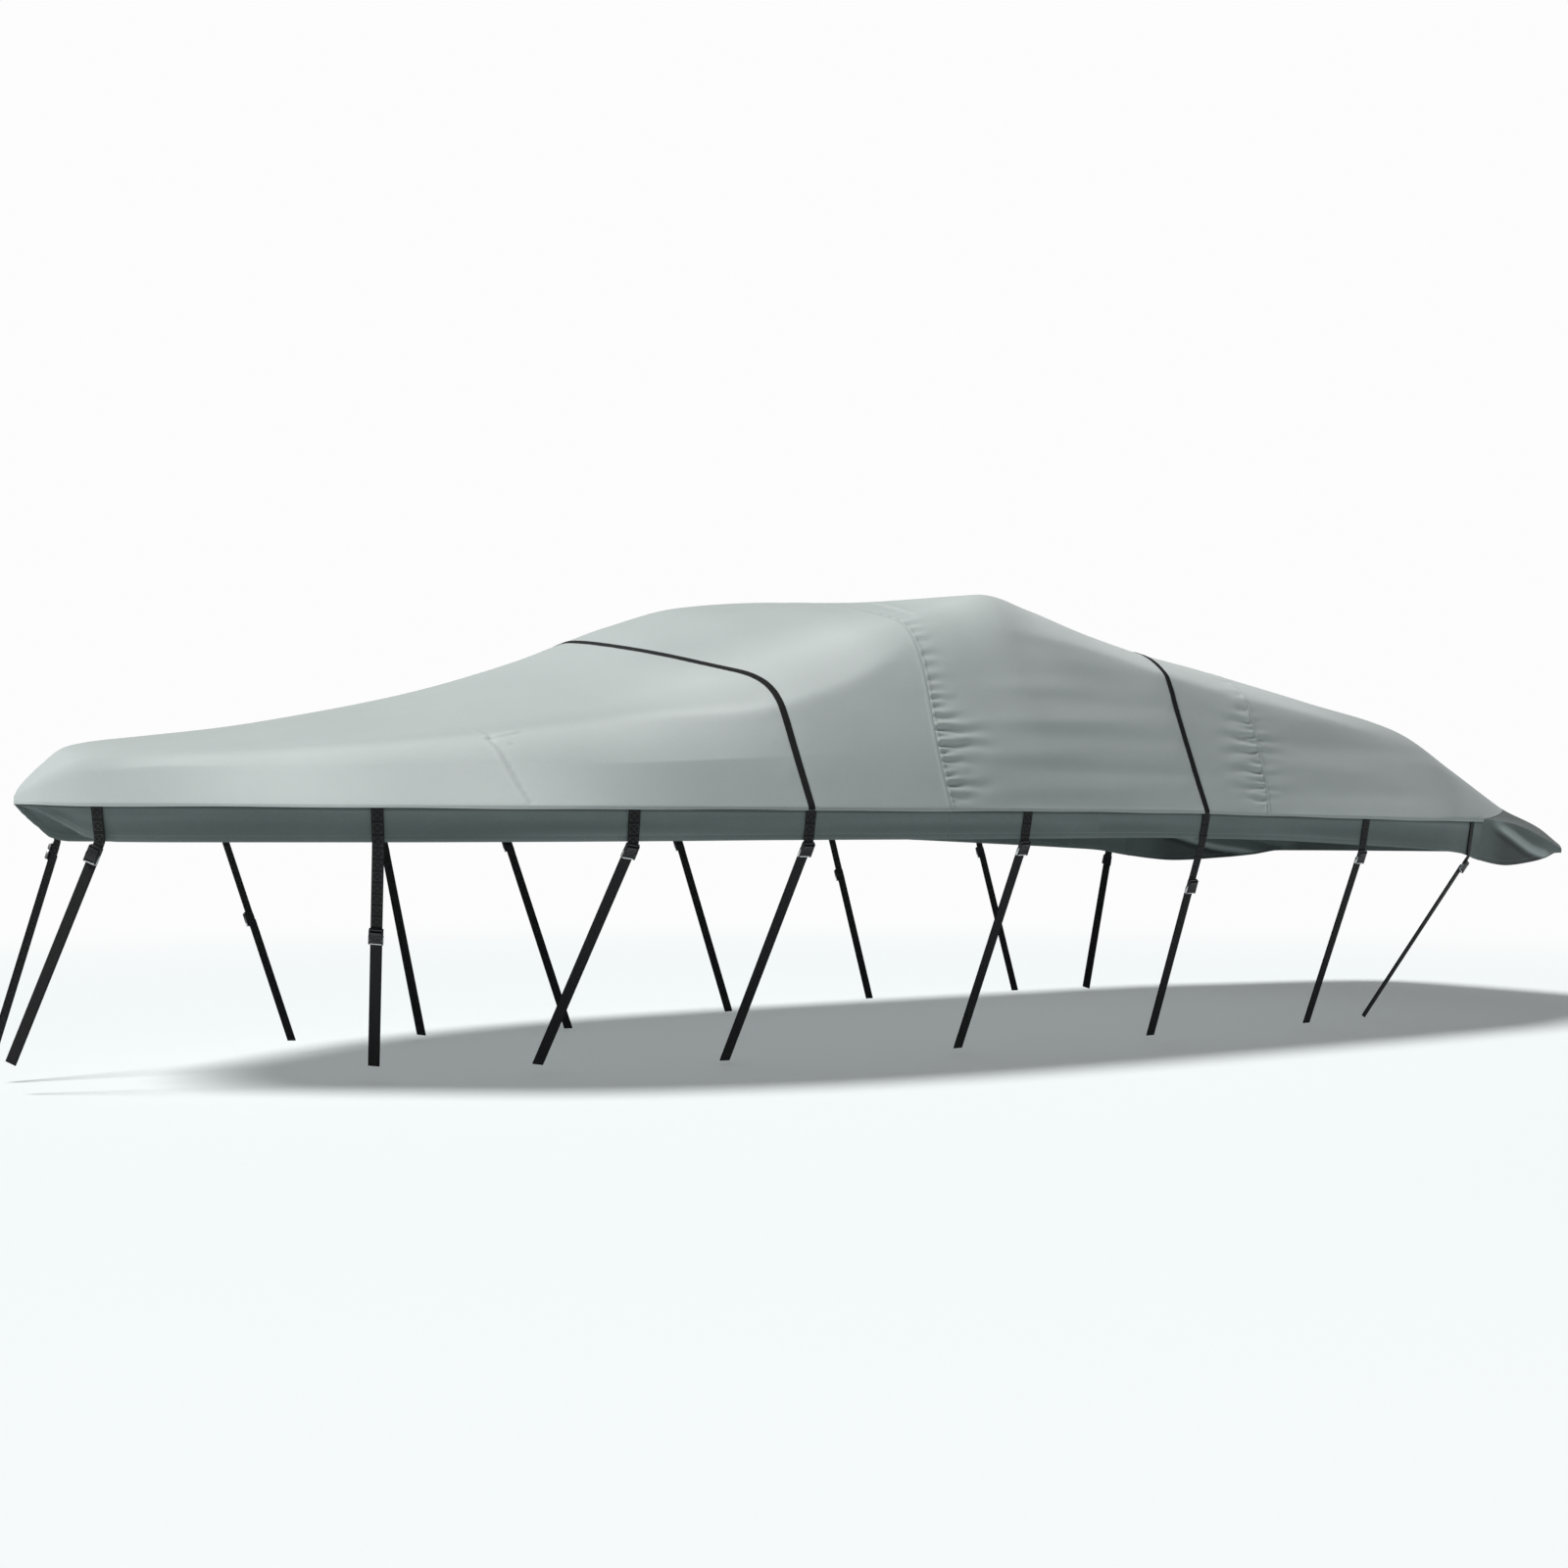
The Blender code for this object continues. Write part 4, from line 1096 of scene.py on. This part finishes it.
# Stitches are 4 mm of thread each 6 mm; the thread is 1.2 mm wide.
STITCH_PITCH, STITCH, THREAD = 0.006, 0.004, 0.0012
# Crossed boxes of thread, 30 mm square, one each 42 mm along the webbing.
BOX_PITCH, BOX = 0.042, 0.030


def stitch_rows(tree, cloth, mark, rows, direction):
    """1 on dashes of thread that lie in rows at set distances from an edge or seam."""
    distance = add_node(tree, "Attribute", attribute_name=mark).outputs["Fac"]
    along = add_node(tree, "SeparateXYZ", {0: cloth}).outputs[direction]
    step = add_node(tree, "Math", {0: along, 1: STITCH_PITCH / 2}, operation="PINGPONG")
    dash = add_node(tree, "Math", {0: step, 1: STITCH / 2}, operation="LESS_THAN")
    lines = 0.0
    for row in rows:
        line = add_node(tree, "Math", {0: distance, 1: row, 2: THREAD / 2}, operation="COMPARE")
        lines = add_node(tree, "Math", {0: lines, 1: line}, operation="MAXIMUM")
    return add_node(tree, "Math", {0: lines, 1: dash}, operation="MULTIPLY")


def box_stitches(tree, cloth):
    """1 on the thread of the crossed boxes that hold webbing down."""
    place = add_node(tree, "SeparateXYZ", {0: cloth})
    inside = {}
    for i, (direction, pitch) in enumerate((("X", BOX_PITCH), ("Y", WEBBING))):
        step = {0: place.outputs[direction], 1: pitch / 2}
        step = {0: add_node(tree, "Math", step, operation="PINGPONG"), 1: (pitch - BOX) / 2}
        inside[i] = add_node(tree, "Math", step, operation="SUBTRACT")
    nearest = add_node(tree, "Math", inside, operation="MINIMUM")
    border = add_node(tree, "Math", {0: nearest, 1: 0.0007, 2: 0.0008}, operation="COMPARE")
    crossed = add_node(tree, "Math", {**inside, 2: 0.0011}, operation="COMPARE")
    within = add_node(tree, "Math", {0: nearest, 1: 0.0}, operation="GREATER_THAN")
    crossed = add_node(tree, "Math", {0: crossed, 1: within}, operation="MULTIPLY")
    return add_node(tree, "Math", {0: border, 1: crossed}, operation="MAXIMUM")


def woven(tree, cloth, sets):
    """The height of two crossed sets of threads, each with its direction and its wave,
    which repeats each 0.314 / Scale metres."""
    threads = [
        add_node(tree, "TexWave", {**wave, "Vector": cloth}, bands_direction=direction)
        for direction, wave in sets.items()
    ]
    crossed = {i: thread.outputs["Fac"] for i, thread in enumerate(threads)}
    return add_node(tree, "Math", crossed, operation="MULTIPLY")


# The cloth's threads repeat each 2.2 mm; the webbing's each 2.6 mm across it (RIBS) and
# each 1.9 mm along it (PICKS).
CLOTH_WAVE = {"Scale": 142.0, "Distortion": 0.6, "Detail": 1.0}
CLOTH_SETS = {"X": CLOTH_WAVE, "Y": CLOTH_WAVE}
RIBS, PICKS = {"Scale": 120.0, "Distortion": 0.3}, {"Scale": 165.0, "Distortion": 0.8}
WEBBING_SETS = {"Y": RIBS, "X": PICKS}


def coated_polyester(name, base, dark, light, thread, edge_rows, seam_rows):
    """Solution-dyed polyester, plain weave, coated inside: matte, with a soft pale sheen
    where it turns away and a fine crossed grain. Real threads are 0.5 mm apart; they are
    drawn 2.2 mm apart so that a close view shows them. Its thread stands out a little."""
    finish, tree, shader = new_finish(
        name, 0.82, Sheen_Weight=0.12, Sheen_Roughness=0.5, Specular_IOR_Level=0.25
    )
    place = object_place(tree)
    cloth = add_node(tree, "UVMap", uv_map="cloth")
    tone = add_node(tree, "Attribute", attribute_name="tone").outputs["Fac"]
    limits = {"From Min": 0.3, "From Max": 0.7, "To Min": -0.035, "To Max": 0.035}
    # broad blotches, and flecks of single yarns
    for scale, detail, rough in ((2.2, 4.0, 0.6), (260.0, 2.0, 0.7)):
        noise = {"Scale": scale, "Detail": detail, "Roughness": rough, "Vector": place}
        noise = add_node(tree, "TexNoise", noise)
        mottle = add_node(tree, "MapRange", {"Value": noise, **limits})
        tone = add_node(tree, "Math", {0: tone, 1: mottle}, operation="ADD")
    # the tone, painted shade and painted highlights with a random mottle, picks a colour between
    # dark, base and light
    colour = add_node(tree, "ValToRGB", {"Fac": tone})
    stops = colour.color_ramp.elements
    stops[0].color, stops[1].color = linear(dark), linear(light)
    stops.new(0.5).color = linear(base)
    lower = stitch_rows(tree, cloth, "edge", edge_rows, "X")
    cross = stitch_rows(tree, cloth, "seam", seam_rows, "Y")
    stitches = add_node(tree, "Math", {0: lower, 1: cross}, operation="MAXIMUM")
    sewn = {"Fac": stitches, "Color1": colour, "Color2": linear(thread)}
    sewn = add_node(tree, "MixRGB", sewn)
    tree.links.new(sewn.outputs["Color"], shader.inputs["Base Color"])
    raised = {0: stitches, 1: 2.0, 2: woven(tree, cloth, CLOTH_SETS)}
    raised = add_node(tree, "Math", raised, operation="MULTIPLY_ADD")
    fine = add_node(tree, "Bump", {"Strength": 0.30, "Distance": 0.0006, "Height": raised})
    crinkle = {"Scale": 26.0, "Detail": 5.0, "Roughness": 0.55, "Vector": place}
    crinkle = add_node(tree, "TexNoise", crinkle)
    soft = {"Strength": 0.20, "Distance": 0.004, "Height": crinkle, "Normal": fine}
    soft = add_node(tree, "Bump", soft)
    tree.links.new(soft.outputs["Normal"], shader.inputs["Normal"])
    return finish


def woven_webbing(name, dark, light, sewn):
    """Black polypropylene webbing, woven in ribs across its width: a low silky gloss.
    Where it is sewn down it has crossed boxes of grey thread."""
    finish, tree, shader = new_finish(
        name, 0.62, Sheen_Weight=0.03, Sheen_Roughness=0.4, Specular_IOR_Level=0.2
    )
    cloth = add_node(tree, "UVMap", uv_map="cloth")
    raised = woven(tree, cloth, WEBBING_SETS)
    tint = {"Fac": raised, "Color1": linear(dark), "Color2": linear(light)}
    tint = add_node(tree, "MixRGB", tint)
    if sewn:
        thread = box_stitches(tree, cloth)
        raised = add_node(tree, "Math", {0: thread, 1: 1.5, 2: raised}, operation="MULTIPLY_ADD")
        tint = {"Fac": thread, "Color1": tint, "Color2": linear("#3a3b3c")}
        tint = add_node(tree, "MixRGB", tint)
    tree.links.new(tint.outputs["Color"], shader.inputs["Base Color"])
    bump = add_node(tree, "Bump", {"Strength": 0.6, "Distance": 0.0006, "Height": raised})
    tree.links.new(bump.outputs["Normal"], shader.inputs["Normal"])
    return finish


def fine_grained(name, roughness, scale, detail, dark, light, **sockets):
    """A finish whose colour varies with a fine grain; also gives the grain."""
    finish, tree, shader = new_finish(name, roughness, **sockets)
    grain = {"Scale": scale, "Detail": detail, "Vector": object_place(tree)}
    grain = add_node(tree, "TexNoise", grain)
    colour = {"Fac": grain, "Color1": linear(dark), "Color2": linear(light)}
    colour = add_node(tree, "MixRGB", colour)
    tree.links.new(colour.outputs["Color"], shader.inputs["Base Color"])
    return finish, tree, shader, grain


def moulded_nylon():
    """Black glass-filled nylon from a textured mould: half matte, with a grain of about
    1 mm. A real one is finer; this one shows in a close view."""
    finish, tree, shader, grain = fine_grained(
        "black_moulded_nylon", 0.42, 900.0, 3.0, "#141416", "#222326", Specular_IOR_Level=0.5
    )
    bump = add_node(tree, "Bump", {"Strength": 0.25, "Distance": 0.0004, "Height": grain})
    tree.links.new(bump.outputs["Normal"], shader.inputs["Normal"])
    return finish


def bright_steel():
    """Polished stainless bar: a bright gleam with a faint mottle, under 1 mm, from its
    polishing."""
    return fine_grained(
        "polished_stainless_bar", 0.24, 1400.0, 1.0, "#c2c5c7", "#e4e6e7", Metallic=1.0
    )[0]


finishes = {
    # each cloth: its colour, the darker colour of its painted shade, the lighter colour of its
    # painted highlights, and its thread
    "light_cloth": coated_polyester(
        "light_grey_coated_polyester", "#aeb6b5", "#8b9594", "#ccd3d2", "#8d9695",
        (0.006,), (0.003, 0.0115),
    ),
    "dark_cloth": coated_polyester(
        "charcoal_coated_polyester", "#626d6c", "#333a39", "#99a4a3", "#7f8887",
        (HEM_TUNNEL,), (0.004,),
    ),
    "webbing": woven_webbing("black_polypropylene_webbing", "#141415", "#272729", False),
    "sewn_webbing": woven_webbing("black_webbing_sewn_down", "#0b0b0c", "#19191b", True),
    "nylon": moulded_nylon(),
    "steel": bright_steel(),
}


def dress(piece, finish, node):
    piece.data.materials.clear()
    piece.data.materials.append(finishes[finish])
    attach(piece, "root")
    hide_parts(node)


# ---- the pieces; the tables also give each sheet's cloth as cut, widest by longest, and its area, which nothing here uses ----
# first and last row, station spacing, heights up the cloth, relief and tone (painted shading)
PANELS = [
    ("bow", 0, BOW_SEAM, near_bow, (0.45, 0.010, 0.60, 0.016, 0.030), bow_relief, bow_painted_shading,
     (3.45, 2.90, 7.00)),
    ("middle", BOW_SEAM, STERN_SEAM, near_seams, (0.50, 0.0062, 1.10, 0.011, 0.028),
     middle_relief, side_painted_shading, (3.60, 1.62, 5.40)),
    ("stern", STERN_SEAM, CAP_SEAM, near_stern_seam, (0.50, 0.010, 0.70, 0.016, 0.028),
     stern_relief, side_painted_shading, (3.50, 2.20, 5.75)),
]
# first and last row, and the sides that the band runs along
BANDS = [
    ("bow", 0, BOW_SEAM, (-1, 1), (0.16, 6.20, 0.72)),
    ("port_middle", BOW_SEAM, SKIRT_SEAM, (-1,), (0.115, 0.69, 0.076)),
    ("starboard_middle", BOW_SEAM, SKIRT_SEAM, (1,), (0.115, 0.69, 0.076)),
    ("port_aft", SKIRT_SEAM, CAP_SEAM, (-1,), (0.22, 2.40, 0.29)),
    ("starboard_aft", SKIRT_SEAM, CAP_SEAM, (1,), (0.22, 2.40, 0.29)),
]


def lay_sheet(piece, slot, node):
    dress(piece, slot, node)


for name, *form, cut in PANELS:
    lay_sheet(light_panel(f"light_cloth_{name}", *form), "light_cloth", f"panel_{name}")
for name, first, last, sides, cut in BANDS:
    piece = dark_band(f"dark_cloth_{name}", first, last, sides)
    lay_sheet(piece, "dark_cloth", f"skirt_{name}")
lay_sheet(stern_cap("dark_cloth_stern_cap"), "dark_cloth", "stern_cap")
for strap in OVER_STRAPS:
    over_strap(strap)
for tie in TIE_DOWNS:
    for side, where in SIDES:
        tie_down(tie, side, where)
place_buckles(cam_buckle())


# ---- floor, light and camera ----
def studio_floor():
    """A pale matt floor that fades into the white of the room with distance."""
    bpy.ops.object.select_all(action="DESELECT")
    bpy.ops.mesh.primitive_circle_add(
        vertices=96, radius=60, fill_type="NGON", location=(0, 0, FLOOR_LEVEL)
    )
    floor = bpy.context.object
    floor.name = "pale_floor"
    bpy.ops.object.transform_apply(location=True)
    finish, tree, shader = new_finish(
        "pale_floor_paint", 0.95, Base_Color=linear("#cbd0d1"), Specular_IOR_Level=0.1,
        Emission_Color=(0.97, 0.99, 1.0, 1.0), Emission_Strength=0.20,
    )
    away = add_node(tree, "VectorMath", {0: object_place(tree)}, operation="LENGTH")
    far = {"Value": away.outputs["Value"], "From Min": 4.0, "From Max": 11.0}
    far = add_node(tree, "MapRange", far, interpolation_type="SMOOTHSTEP")
    glow = add_node(tree, "Emission", {"Color": (1, 1, 1, 1), "Strength": 0.98})
    mix = add_node(tree, "MixShader", {0: far, 1: shader, 2: glow})
    tree.links.new(mix.outputs[0], tree.nodes["Material Output"].inputs["Surface"])
    floor.data.materials.append(finish)


def studio_world():
    """White where the camera looks past the floor, and a low cool fill elsewhere."""
    world = bpy.data.worlds.new("studio")
    bpy.context.scene.world = world
    world.use_nodes = True
    tree = world.node_tree
    tree.nodes.clear()
    seen = add_node(tree, "Background", {"Color": (1, 1, 1, 1), "Strength": 0.98})
    fill = add_node(tree, "Background", {"Color": (0.90, 0.99, 1.0, 1), "Strength": 0.10})
    camera_ray = add_node(tree, "LightPath").outputs["Is Camera Ray"]
    mix = add_node(tree, "MixShader", {0: camera_ray, 1: fill, 2: seen})
    add_node(tree, "OutputWorld", {"Surface": mix})


def soft_key(direction, angle, strength, colour):
    """A broad even light from a direction, with soft-edged shadows."""
    light = bpy.data.lights.new("soft_key", "SUN")
    light.angle = math.radians(angle)
    light.energy = strength
    light.color = colour
    lamp = bpy.data.objects.new("soft_key", light)
    lamp.rotation_euler = Vector(direction).to_track_quat("Z", "Y").to_euler()
    bpy.context.scene.collection.objects.link(lamp)


studio_floor()
studio_world()
soft_key((-0.52, 0.17, 0.84), 20, 4.15, (1.0, 0.99, 0.98))

camera_data = bpy.data.cameras.new("camera")
camera_data.lens = 42.3
camera_data.sensor_width = 36
camera = bpy.data.objects.new("camera", camera_data)
camera.location = (-3.974, -6.360, HEM_LEVEL)
camera.rotation_euler = (math.radians(91.615), 0, math.radians(-32))
bpy.context.scene.collection.objects.link(camera)
bpy.context.scene.camera = camera
bpy.context.scene.view_settings.view_transform = "Standard"
